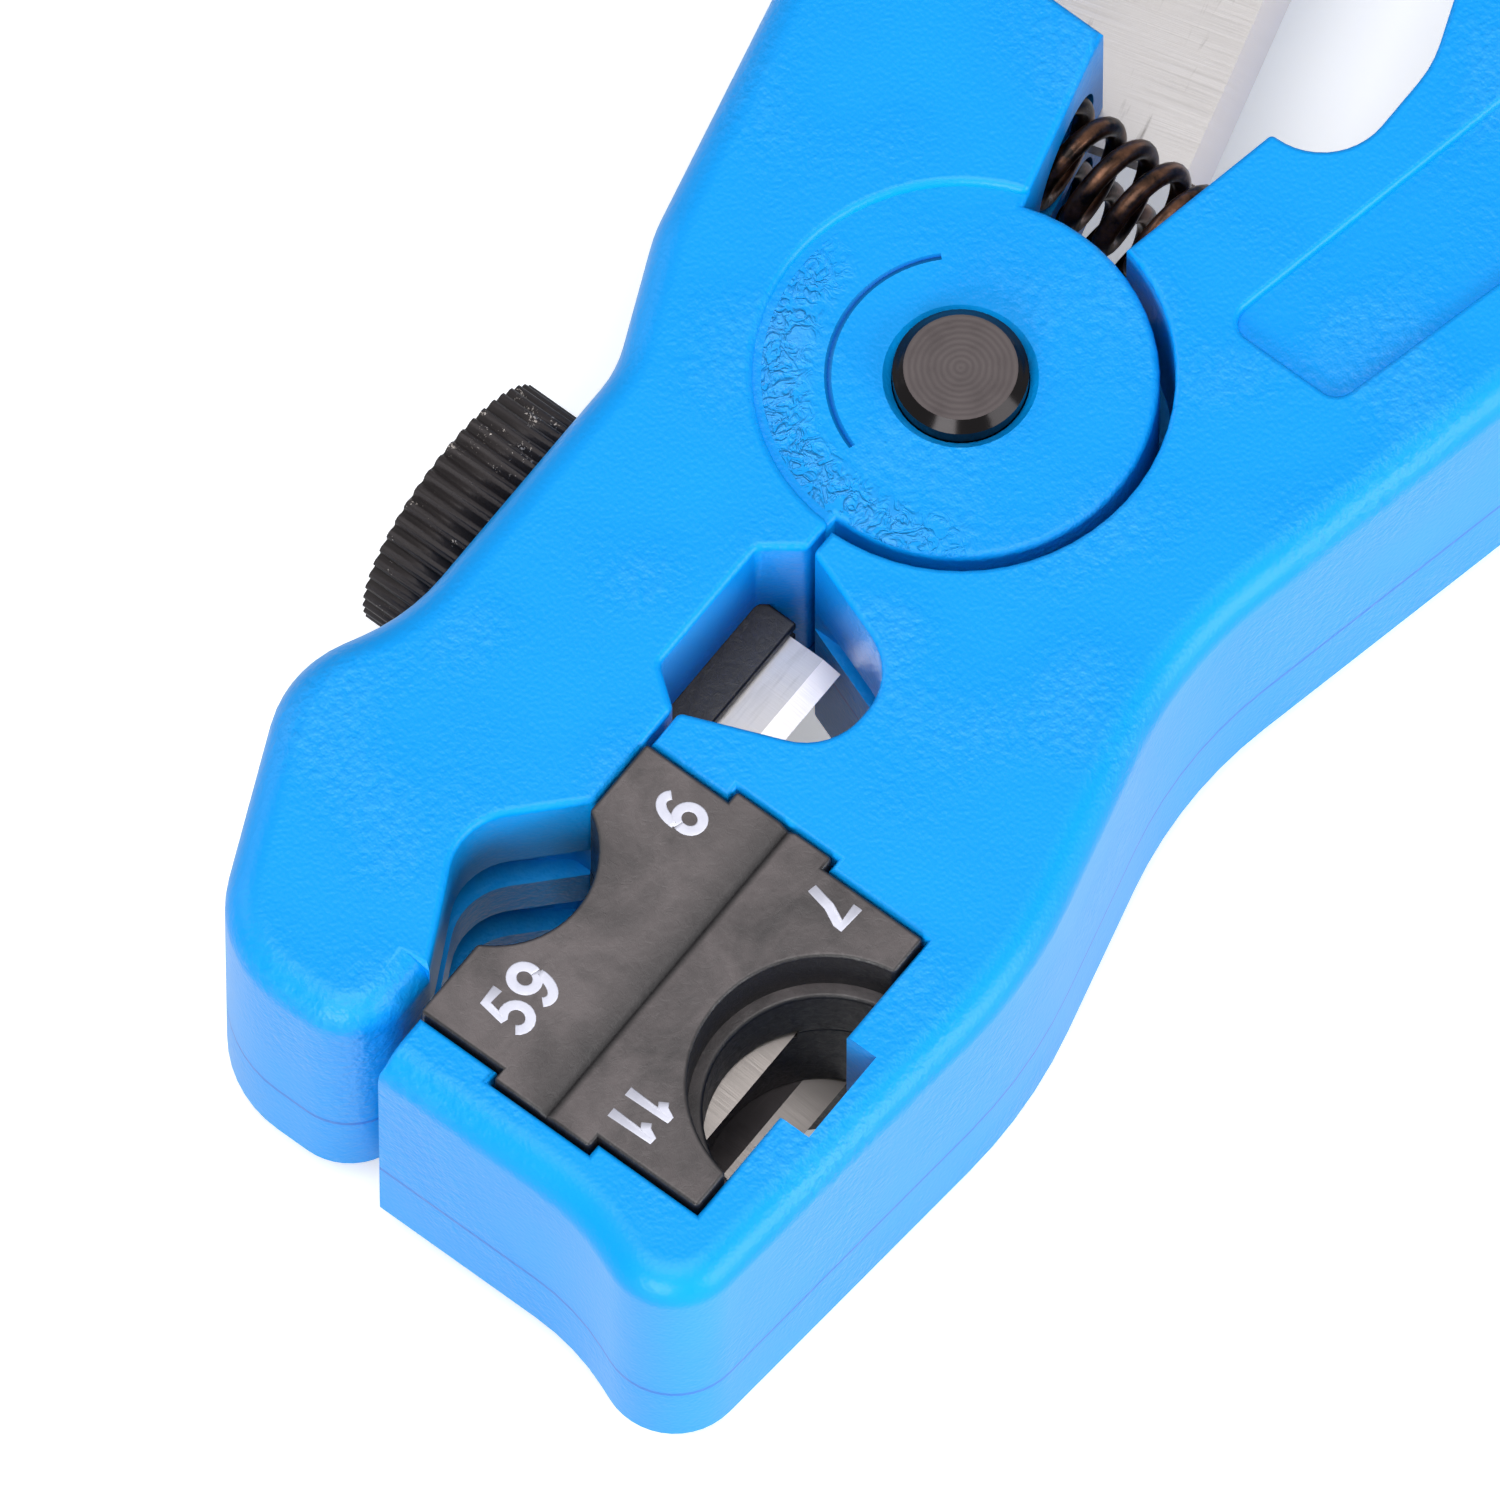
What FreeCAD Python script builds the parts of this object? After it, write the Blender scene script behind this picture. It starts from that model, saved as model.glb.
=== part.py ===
# Plier-type coaxial cable stripper.
# Two thick moulded levers turn on one steel pin. Squeezing the handles opens the jaws, and two
# stacked compression springs close them. The cassette lever holds a reversible stripping cassette,
# and the knob lever holds an adjustable blade for round cable and a cutting blade in its handle.
# Frame: origin on the pin's axis at the underside, +X to the handles along the mating faces,
# +Y to the knob lever, +Z up. Lengths are in millimetres and angles in degrees.
import FreeCAD, Part
import math
import os
import Sketcher
from FreeCAD import Placement, Rotation, Vector

# Each size is (number, what it is). The sheet of the document holds them under these names.
LEVER_SIZES = {
    "body_thick": (18.0, "thickness of both levers"),
    "top_round": (1.8, "rounding of the outer top edges"),
    "base_bevel": (2.0, "bevel of the outer bottom edges"),
    "mating_gap": (0.3, "gap between the closed jaws"),
    "lap_gap": (0.2, "gap between the two pivot discs"),
    "disc_round": (9.1, "radius of the pivot discs"),
    "disc_gap": (0.7, "gap round a pivot disc"),
    "disc_sink": (0.4, "how far the upper disc lies below the top"),
    "handle_length": (90.0, "pin to the ends of the handles"),
    "end_round": (5.5, "corners of the handle ends"),
}
KNOB_LEVER_SIZES = {
    "knob_tip_run": (5.1, "cable notch to the tip of the knob jaw"),
    "tip_setback": (1.0, "how far the tip stands back from the mating plane"),
    "tip_round": (3.2, "corner of the jaw tip at the mating side"),
    "shoulder_width": (9.8, "outer corner of the tip"),
    "shoulder_round": (6.0, "rounding of that corner"),
    "crown_place": (30.0, "widest place of the knob jaw"),
    "crown_width": (15.7, "corner that makes the widest place"),
    "crown_round": (6.0, "rounding of the widest place"),
    "flat_start": (24.5, "jaw end of the flat under the knob"),
    "flat_end": (9.0, "handle end of the flat under the knob"),
    "flat_width": (12.9, "mating plane to the flat"),
    "flat_blend": (10.0, "hollow rounding at the jaw end of the flat"),
    "hump_blend": (6.0, "hollow rounding at its handle end"),
    "hump_place": (2.5, "hump of the outer side next to the pin"),
    "hump_width": (15.75, "mating plane to that hump"),
    "hump_round": (8.0, "rounding of the hump"),
    "bow_place": (46.0, "widest place of the knob handle"),
    "bow_width": (27.0, "corner that makes that place"),
    "bow_round": (60.0, "bow of the handles"),
    "knob_end_width": (26.5, "outer corner of the knob handle's end"),
    "knob_end_inner": (15.0, "inner corner of the knob handle's end"),
    "palm_run": (22.0, "bend of the handles' inner sides to the handle ends"),
    "knob_palm_inner": (13.4, "inner side of the knob handle there"),
    "ledge_end": (50.0, "handle end of the blade ledge"),
    "ledge_end_inner": (12.6, "inner side of the ledge there"),
    "seat_start": (5.0, "where the spring seat leaves the pivot"),
    "seat_start_width": (2.0, "its distance from the mating plane"),
    "seat_end": (16.4, "outer end of the spring seat"),
    "seat_end_width": (5.0, "its distance from the mating plane"),
}
NOTCH_SIZES = {
    "notch_tip_run": (6.4, "middle of the cassette to the tip end of the cable notch"),
    "notch_shift": (0.2, "middle of the cassette to the deepest place of the notch"),
    "notch_depth": (4.4, "corner that makes the deepest place"),
    "notch_round": (3.2, "rounding of the deepest place"),
    "notch_pivot_run": (4.7, "middle of the cassette to the pivot end of the notch"),
    "slot_height": (2.8, "height of the blade reliefs in the notch"),
    "slot_depth": (2.4, "depth of the reliefs behind the notch"),
    "window_tip_end": (21.2, "tip end of the round-cable window"),
    "window_pivot_end": (11.2, "pivot end of the window"),
    "window_depth": (2.0, "depth of the window in the knob lever"),
    "window_slope": (1.4, "run of the window's slanted ends"),
    "cup_depth": (6.85, "depth of the window in the cassette lever"),
    "cup_round": (3.2, "rounding at the bottom of that window"),
    "cup_tip_lean": (2.75, "lean of the window's tip side"),
    "cup_pivot_lean": (2.4, "lean of the window's pivot side"),
}
CASSETTE_LEVER_SIZES = {
    "tip_wall": (3.3, "cassette to the tip of the cassette jaw"),
    "nose_flare": (2.9, "how far the nose corner stands out past the tip"),
    "nose_width": (18.6, "mating plane to the nose corner"),
    "nose_round": (3.4, "rounding of the nose"),
    "brow_width": (11.5, "where the tip starts to flare into the nose"),
    "brow_round": (12.0, "hollow rounding of that flare"),
    "hip_place": (21.5, "widest place of the cassette jaw"),
    "hip_width": (20.7, "corner that makes that place"),
    "hip_round": (25.0, "rounding of the widest place"),
    "waist_place": (5.0, "narrowest place beside the pin"),
    "waist_width": (16.5, "corner that makes that place"),
    "waist_round": (22.0, "hollow rounding of the waist"),
    "box_bow_place": (60.0, "widest place of the cassette handle"),
    "box_bow_width": (30.2, "corner that makes that place"),
    "box_end_width": (28.5, "outer corner of the cassette handle's end"),
    "box_end_inner": (16.9, "inner corner of the cassette handle's end"),
    "box_palm_inner": (13.6, "inner side of the cassette handle at the bend"),
    "box_seat_start": (6.0, "where the spring seat leaves the pivot"),
    "box_seat_start_width": (1.5, "its distance from the mating plane"),
    "cusp_place": (18.2, "start of the cutting notch"),
    "cusp_width": (3.9, "mating plane to the lips of the cutting notch"),
    "cutting_depth": (7.6, "mating plane to the bottom of the cutting notch"),
    "cutting_flat_end": (25.5, "end of the flat bottom of the notch"),
    "cutting_round": (3.4, "rounding of the notch's steep side"),
    "cutting_end": (35.0, "handle end of the cutting notch"),
}
CASSETTE_SIZES = {
    "cassette_place": (31.8, "pin to the middle of the cassette"),
    "cassette_length": (16.8, "length along the jaw"),
    "cassette_width": (15.9, "width across the jaw"),
    "cassette_proud": (0.2, "how far the cassette stands above the levers"),
    "pocket_gap": (0.15, "gap between the cassette and its pocket"),
    "tab_width": (5.5, "width of the guide tabs"),
    "tab_depth": (0.65, "how far the tabs stand out"),
    "tab_start": (4.7, "mating plane to the tabs"),
    "key_width": (5.0, "width of the slot in the pocket's outer wall"),
    "key_depth": (1.7, "depth of that slot"),
    "small_recess": (4.7, "radius of the recess for thin cable"),
    "small_depth": (2.5, "depth of the recess for thin cable"),
    "large_recess": (6.3, "radius of the recess for thick cable"),
    "large_depth": (5.4, "depth of the recess for thick cable"),
    "lip_height": (3.0, "height of the wider rim of the thick recess"),
    "lip_step": (0.7, "step from that rim to the wall below"),
    "base_height": (5.9, "height of the lower layer"),
    "spacer_height": (5.6, "height of the middle layer"),
    "strip_thick": (0.6, "thickness of the stripping blades"),
    "strip_length": (14.8, "length of the stripping blades"),
    "strip_bevel": (1.6, "ground bevel of the stripping blades"),
    "jacket_thin": (2.0, "jacket blade to the thin-cable face"),
    "jacket_thick": (12.35, "jacket blade's edge in the thick recess"),
    "core_thin": (1.2, "core blade to the thin-cable face"),
    "core_thick": (14.2, "core blade's edge in the thick recess"),
    "rib_length": (8.0, "length of the rib that lines up the layers"),
    "rib_width": (2.0, "width of that rib"),
    "rib_place": (7.7, "mating plane to the middle of the rib and to the crease"),
    "crease_width": (0.9, "width of the crease on the top layer"),
    "crease_depth": (0.3, "depth of the crease"),
}
PIVOT_SIZES = {
    "pin_round": (3.13, "radius of the pivot pin"),
    "pin_proud": (1.0, "how far the pin stands above the upper disc"),
    "pin_chamfer": (0.5, "chamfer of the pin's end"),
    "pin_head_round": (5.0, "radius of the pin's head"),
    "pin_head_height": (2.4, "height of the pin's head"),
    "running_gap": (0.05, "radial clearance of running fits"),
    "hole_break": (0.4, "bevel of the hole's rim in the upper disc"),
}
SPRING_SIZES = {
    "spring_place": (13.4, "pin to the springs"),
    "spring_spread": (7.0, "height between the two springs"),
    "coil_round": (2.35, "radius of the springs at the middle of the wire"),
    "wire_thick": (1.0, "wire of the springs"),
    "spring_pitch": (1.86, "rise of each turn"),
    "spring_sink": (2.0, "depth of the spring pockets"),
    "spring_gap": (0.25, "gap round a spring in its pocket"),
    "spring_rest": (0.1, "gap at each end of a spring"),
}
CUTTER_SIZES = {
    "cutter_thick": (1.0, "thickness of the cutting blade"),
    "cutter_height": (8.4, "underside to the blade's lower face"),
    "cutter_length": (30.0, "length of the cutting blade"),
    "cutter_width": (12.0, "width of the cutting blade"),
    "cutter_bevel": (1.1, "ground bevel of the cutting edge"),
    "cutter_place": (17.3, "pin to the start of the cutting edge"),
    "cutter_drop": (0.9, "that start below the mating plane"),
    "cutter_angle": (15.5, "slope of the cutting edge"),
    "cutter_gap": (0.2, "gap round the blade in the levers"),
    "cutter_screw_first": (10.6, "blade's heel to the first screw"),
    "cutter_screw_spacing": (14.0, "distance between the screws"),
    "cutter_screw_inset": (8.3, "cutting edge to the screws"),
    "bay_place": (17.5, "start of the bay over the blade"),
    "bay_lip": (8.6, "end of the seat's bulge beside the bay"),
    "screw_round": (1.45, "radius of the blade screws"),
    "screw_head_round": (2.75, "radius of their heads"),
    "screw_head_height": (1.7, "height of their heads"),
    "screw_length": (6.5, "length below the heads"),
    "screw_socket": (0.7, "width of the driver slot"),
}
KNOB_SIZES = {
    "knob_place": (16.2, "pin to the knob's axis"),
    "knob_height": (9.0, "underside to the knob's axis"),
    "knob_round": (6.5, "radius of the knurled knob"),
    "knob_width": (4.0, "width of the knurled knob"),
    "knob_chamfer": (0.5, "chamfer of the knob's rims"),
    "flute_count": (48, "number of flutes in the knurl"),
    "flute_depth": (0.35, "depth of a flute"),
    "flute_width": (0.6, "width of a flute at the rim"),
    "washer_thick": (0.5, "thickness of the friction washer"),
    "washer_round": (4.5, "radius of the friction washer"),
    "shaft_round": (1.9, "radius of the screw's plain part"),
    "thread_round": (1.5, "radius of the threaded part"),
    "thread_reach": (5.3, "mating plane to the screw's tip"),
    "clip_round": (3.0, "outer radius of the retaining clip"),
    "clip_thick": (0.6, "thickness of the retaining clip"),
    "clip_groove": (0.5, "depth of the clip's groove"),
    "wall_left": (2.0, "wall between the knob and the carrier's channel"),
    "carrier_length": (8.0, "length of the carrier along the jaw"),
    "carrier_width": (8.2, "reach of the carrier into the knob lever"),
    "carrier_low": (6.4, "underside to the carrier's lower face"),
    "carrier_high": (11.6, "underside to the carrier's upper face"),
    "channel_gap": (0.1, "gap between the carrier and its channel"),
    "insert_round": (2.1, "outer radius of the brass insert"),
    "insert_length": (4.7, "length of the brass insert"),
    "edge_reach": (2.9, "how far the round-cable blade stands out"),
    "edge_tail": (3.3, "how far that blade runs into the carrier"),
    "edge_thick": (0.6, "thickness of the round-cable blade"),
    "edge_height": (10.4, "underside to that blade's lower face"),
    "edge_length": (7.0, "length of that blade along the jaw"),
    "edge_bevel": (1.0, "ground bevel of that blade"),
    "relief_depth": (1.2, "depth of the relief round the window"),
    "relief_height": (2.2, "height of the relief"),
    "small_screw_round": (0.8, "radius of the screw in that blade"),
    "small_head_round": (1.6, "radius of its head"),
    "small_head_height": (1.0, "height of its head"),
    "small_screw_place": (1.5, "mating plane to that screw"),
}
PANEL_SIZES = {
    "panel_sink": (0.5, "depth of the sunk grip panels"),
    "panel_start": (9.4, "pivot end of the cassette handle's panel"),
    "panel_top": (8.0, "its inner corner at that end"),
    "panel_base": (14.4, "its outer corner at that end"),
    "panel_run": (10.0, "far end of both panels to the handle ends"),
    "panel_end_top": (20.2, "inner corner at the far end"),
    "panel_end_base": (25.6, "outer corner at the far end"),
    "panel_mid": (48.0, "where the panels bend"),
    "panel_mid_top": (15.6, "inner side at the bend"),
    "panel_mid_base": (23.8, "outer side at the bend"),
    "panel_round": (1.0, "corners of the panels"),
    "knob_panel_start": (54.0, "pivot end of the knob handle's panel"),
    "knob_panel_top": (17.2, "its inner side"),
    "knob_panel_base": (23.2, "its outer side"),
}
ALL_SIZES = [LEVER_SIZES, KNOB_LEVER_SIZES, NOTCH_SIZES, CASSETTE_LEVER_SIZES, CASSETTE_SIZES,
             PIVOT_SIZES, SPRING_SIZES, CUTTER_SIZES, KNOB_SIZES, PANEL_SIZES]

BIG_CUT = 12.0  # overrun of cuts that leave the body


class Size:
    # A length with its number and the sheet expression that gives it, so that a sketch can be
    # drawn in place and bound to the sheet in one go.
    def __init__(self, text, value):
        self.text = text
        self.value = value

    def __neg__(self):
        return Size("-(" + self.text + ")", -self.value)

    def __add__(self, other):
        other = asSize(other)
        return Size("(" + self.text + " + " + other.text + ")", self.value + other.value)

    def __sub__(self, other):
        other = asSize(other)
        return Size("(" + self.text + " - (" + other.text + "))", self.value - other.value)

    def __mul__(self, factor):
        factor = asSize(factor)
        return Size("(" + self.text + ") * (" + factor.text + ")", self.value * factor.value)

    def __truediv__(self, factor):
        factor = asSize(factor)
        return Size("(" + self.text + ") / (" + factor.text + ")", self.value / factor.value)


def asSize(number):
    if isinstance(number, Size):
        return number
    return Size(repr(float(number)), float(number))


def smallerOf(first, second):
    return Size("min(" + first.text + "; " + second.text + ")", min(first.value, second.value))


class SizeBook:
    # The sheet's sizes as attributes: book.body_thick is a Size bound to that cell.
    def __init__(self, sheet):
        self.sheet = sheet

    def __getattr__(self, name):
        return Size("Sizes." + name, float(self.sheet.get(name)))


def makeSheet(doc):
    sheet = doc.addObject("Spreadsheet::Sheet", "Sizes")
    row = 1
    for group in ALL_SIZES:
        for name, (number, note) in group.items():
            sheet.set("A%d" % row, name)
            sheet.set("B%d" % row, str(number))
            sheet.set("C%d" % row, note)
            sheet.setAlias("B%d" % row, name)
            row += 1
    doc.recompute()
    return sheet


def bind(feature, prop, size):
    feature.setExpression(prop, asSize(size).text)


def makeBody(doc, label):
    body = doc.addObject("PartDesign::Body", label)
    body.Label = label
    return body


def placeBody(body, x=0.0, y=0.0, z=0.0, axis=None, angle=0.0):
    turn = asSize(angle)
    rotation = Rotation(axis or Vector(0, 0, 1), turn.value)
    base = [asSize(x), asSize(y), asSize(z)]
    body.Placement = Placement(Vector(*[part.value for part in base]), rotation)
    for letter, part in zip("xyz", base):
        bind(body, "Placement.Base." + letter, part)
    if isinstance(angle, Size):
        bind(body, "Placement.Rotation.Angle", angle)


def makeSketch(body, name, plane="XY_Plane", height=0.0):
    # A sketch on one of the body's own planes, shifted along the plane's normal.
    sketch = body.newObject("Sketcher::SketchObject", name)
    support = [face for face in body.Origin.OriginFeatures if face.Role == plane][0]
    sketch.AttachmentSupport = [(support, "")]
    sketch.MapMode = "FlatFace"
    bind(sketch, "AttachmentOffset.Base.z", height)
    return sketch


def tiltSketch(sketch, x, y, angle):
    # Move a flat sketch's own axes to (x, y) and turn them, as for everything round the blade.
    bind(sketch, "AttachmentOffset.Base.x", x)
    bind(sketch, "AttachmentOffset.Base.y", y)
    bind(sketch, "AttachmentOffset.Rotation.Angle", angle)


def constrain(sketch, constraints):
    # constraints holds (constraint, size or None); each size is bound to the sheet.
    first = sketch.ConstraintCount
    sketch.addConstraint([constraint for constraint, size in constraints])
    for step, (constraint, size) in enumerate(constraints):
        if size is not None:
            bind(sketch, "Constraints[%d]" % (first + step), size)


def pinPoint(geometry, place, x, y):
    return [
        (Sketcher.Constraint("DistanceX", -1, 1, geometry, place, x.value), x),
        (Sketcher.Constraint("DistanceY", -1, 1, geometry, place, y.value), y),
    ]


def cornerArc(before, corner, after, radius):
    # The arc that rounds a corner, with its two touching points and the way it turns.
    back = (before - corner).normalize()
    ahead = (after - corner).normalize()
    half = back.getAngle(ahead) / 2
    reach = radius / math.tan(half)
    middle = corner + (back + ahead).normalize() * (radius / math.sin(half))
    start = corner + back * reach
    end = corner + ahead * reach
    turn_left = (-back).cross(ahead).z > 0
    first = start if turn_left else end
    last = end if turn_left else start
    low = math.atan2(first.y - middle.y, first.x - middle.x)
    high = math.atan2(last.y - middle.y, last.x - middle.x)
    if high < low:
        high += 2 * math.pi
    arc = Part.ArcOfCircle(Part.Circle(middle, Vector(0, 0, 1), radius), low, high)
    return arc, start, end, turn_left


def drawOutline(sketch, corners):
    # A closed outline of straight sides. Each corner is (x, y) or (x, y, radius); a radius rounds
    # it with an arc that touches both sides.
    corners = [tuple(asSize(part) for part in corner) for corner in corners]
    points = [Vector(corner[0].value, corner[1].value, 0) for corner in corners]
    count = len(corners)
    arcs = {}
    for step, corner in enumerate(corners):
        if len(corner) == 3:
            before = points[step - 1]
            after = points[(step + 1) % count]
            arcs[step] = cornerArc(before, points[step], after, corner[2].value)
    lines = []
    for step in range(count):
        following = (step + 1) % count
        start = arcs[step][2] if step in arcs else points[step]
        end = arcs[following][1] if following in arcs else points[following]
        lines.append(sketch.addGeometry(Part.LineSegment(start, end), False))
    constraints = []
    for step, corner in enumerate(corners):
        x, y = corner[0], corner[1]
        line_in = lines[step - 1]
        line_out = lines[step]
        if step not in arcs:
            constraints.append((Sketcher.Constraint("Coincident", line_in, 2, line_out, 1), None))
            constraints += pinPoint(line_out, 1, x, y)
            continue
        arc, start, end, turn_left = arcs[step]
        curve = sketch.addGeometry(arc, False)
        mark = sketch.addGeometry(Part.Point(points[step]), True)
        arc_in = 1 if turn_left else 2
        arc_out = 2 if turn_left else 1
        constraints += [
            (Sketcher.Constraint("Tangent", line_in, 2, curve, arc_in), None),
            (Sketcher.Constraint("Tangent", curve, arc_out, line_out, 1), None),
            (Sketcher.Constraint("Radius", curve, corner[2].value), corner[2]),
            (Sketcher.Constraint("PointOnObject", mark, 1, line_in), None),
            (Sketcher.Constraint("PointOnObject", mark, 1, line_out), None),
        ]
        constraints += pinPoint(mark, 1, x, y)
    constrain(sketch, constraints)


def drawBox(sketch, low_x, low_y, high_x, high_y):
    drawOutline(sketch, [(low_x, low_y), (high_x, low_y), (high_x, high_y), (low_x, high_y)])


def drawCircle(sketch, x, y, radius):
    x, y, radius = asSize(x), asSize(y), asSize(radius)
    centre = Vector(x.value, y.value, 0)
    circle = sketch.addGeometry(Part.Circle(centre, Vector(0, 0, 1), radius.value), False)
    constrain(sketch, pinPoint(circle, 3, x, y) + [
        (Sketcher.Constraint("Radius", circle, radius.value), radius),
    ])


def addFeature(body, kind, sketch, length, up):
    feature = body.newObject("PartDesign::" + kind, sketch.Label + kind)
    feature.Profile = sketch
    feature.Reversed = up if kind == "Pocket" else not up
    bind(feature, "Length", length)
    body.Document.recompute()
    return feature


def pad(body, sketch, length, up=True):
    return addFeature(body, "Pad", sketch, length, up)


def pocket(body, sketch, length, up=True):
    # Cuts along the sketch's normal (up) or against it, and checks that something was cut.
    before = body.Shape.Volume
    feature = addFeature(body, "Pocket", sketch, length, up)
    if body.Shape.Volume > before - 1e-6:
        raise RuntimeError(sketch.Label + " cuts nothing")
    return feature


def revolve(body, sketch, kind="Revolution"):
    feature = body.newObject("PartDesign::" + kind, sketch.Label + kind)
    feature.Profile = sketch
    feature.ReferenceAxis = (sketch, ["V_Axis"])
    feature.Angle = 360
    body.Document.recompute()
    return feature


def edgeNames(shape, wanted):
    return ["Edge%d" % (step + 1) for step, edge in enumerate(shape.Edges) if wanted(edge)]


def middleOf(edge):
    return edge.valueAt((edge.FirstParameter + edge.LastParameter) / 2)


def isLevel(edge, height):
    box = edge.BoundBox
    return abs(box.ZMin - height) < 1e-4 and abs(box.ZMax - height) < 1e-4


def roundEdges(body, name, radius, wanted, kind="Fillet"):
    base = body.Tip
    feature = body.newObject("PartDesign::" + kind, name)
    feature.Base = (base, edgeNames(base.Shape, wanted))
    bind(feature, "Radius" if kind == "Fillet" else "Size", radius)
    body.Document.recompute()
    return feature


def roundOuterSides(body, book, isOuter):
    top = book.body_thick.value
    roundEdges(body, "TopRound", book.top_round,
               lambda edge: isLevel(edge, top) and isOuter(middleOf(edge)))
    roundEdges(body, "BaseBevel", book.base_bevel,
               lambda edge: isLevel(edge, 0.0) and isOuter(middleOf(edge)), "Chamfer")


def holeAt(body, name, x, y, radius, height, length, up=True):
    sketch = makeSketch(body, name, height=height)
    drawCircle(sketch, x, y, radius)
    return pocket(body, sketch, length, up)


def seatSprings(body, book, wall, up):
    # Two blind pockets, one above the other, in the face that the springs push on.
    for name, side in (("Upper", 0.5), ("Lower", -0.5)):
        sketch = makeSketch(body, name + "SpringSeat", "XZ_Plane", -wall)
        drawCircle(sketch, book.spring_place, middleHeight(book) + book.spring_spread * side,
                   springReach(book) + book.spring_gap)
        pocket(body, sketch, book.spring_sink + BIG_CUT, up)


def middleHeight(book):
    return book.body_thick / 2


def springReach(book):
    return book.coil_round + book.wire_thick / 2


def notchTip(book):
    return book.cassette_place + book.notch_tip_run


def notchMiddle(book):
    return book.cassette_place - book.notch_shift


def notchPivot(book):
    return book.cassette_place - book.notch_pivot_run


def boxTip(book):
    # The cassette jaw ends a wall's thickness past its cassette.
    return book.cassette_place + book.cassette_length / 2 + book.tip_wall


def noseTip(book):
    return boxTip(book) + book.nose_flare


def palmPlace(book):
    return book.handle_length - book.palm_run


def panelEnd(book):
    return book.handle_length - book.panel_run


def endRound(book, outer, inner):
    # Both corners of a handle's end have room in the end's own width.
    return smallerOf(book.end_round, (outer - inner) * 0.48)


def upperSeat(book):
    # The knob lever's spring seat, at the springs' place.
    slope = (book.seat_end_width - book.seat_start_width) / (book.seat_end - book.seat_start)
    return book.seat_start_width + slope * (book.spring_place - book.seat_start)


def lowerSeat(book):
    # The cassette lever's spring seat, at the springs' place, as a depth below the mating plane.
    run = book.cusp_place - book.box_seat_start
    slope = (book.cusp_width - book.box_seat_start_width) / run
    return book.box_seat_start_width + slope * (book.spring_place - book.box_seat_start)


def drawBladeArea(sketch, book, margin):
    # The cutting blade's outline, grown by a margin, in the blade's own tilted axes.
    tiltSketch(sketch, book.cutter_place, -book.cutter_drop, book.cutter_angle)
    drawBox(sketch, -margin, -margin, book.cutter_length + margin, book.cutter_width + margin)


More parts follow.
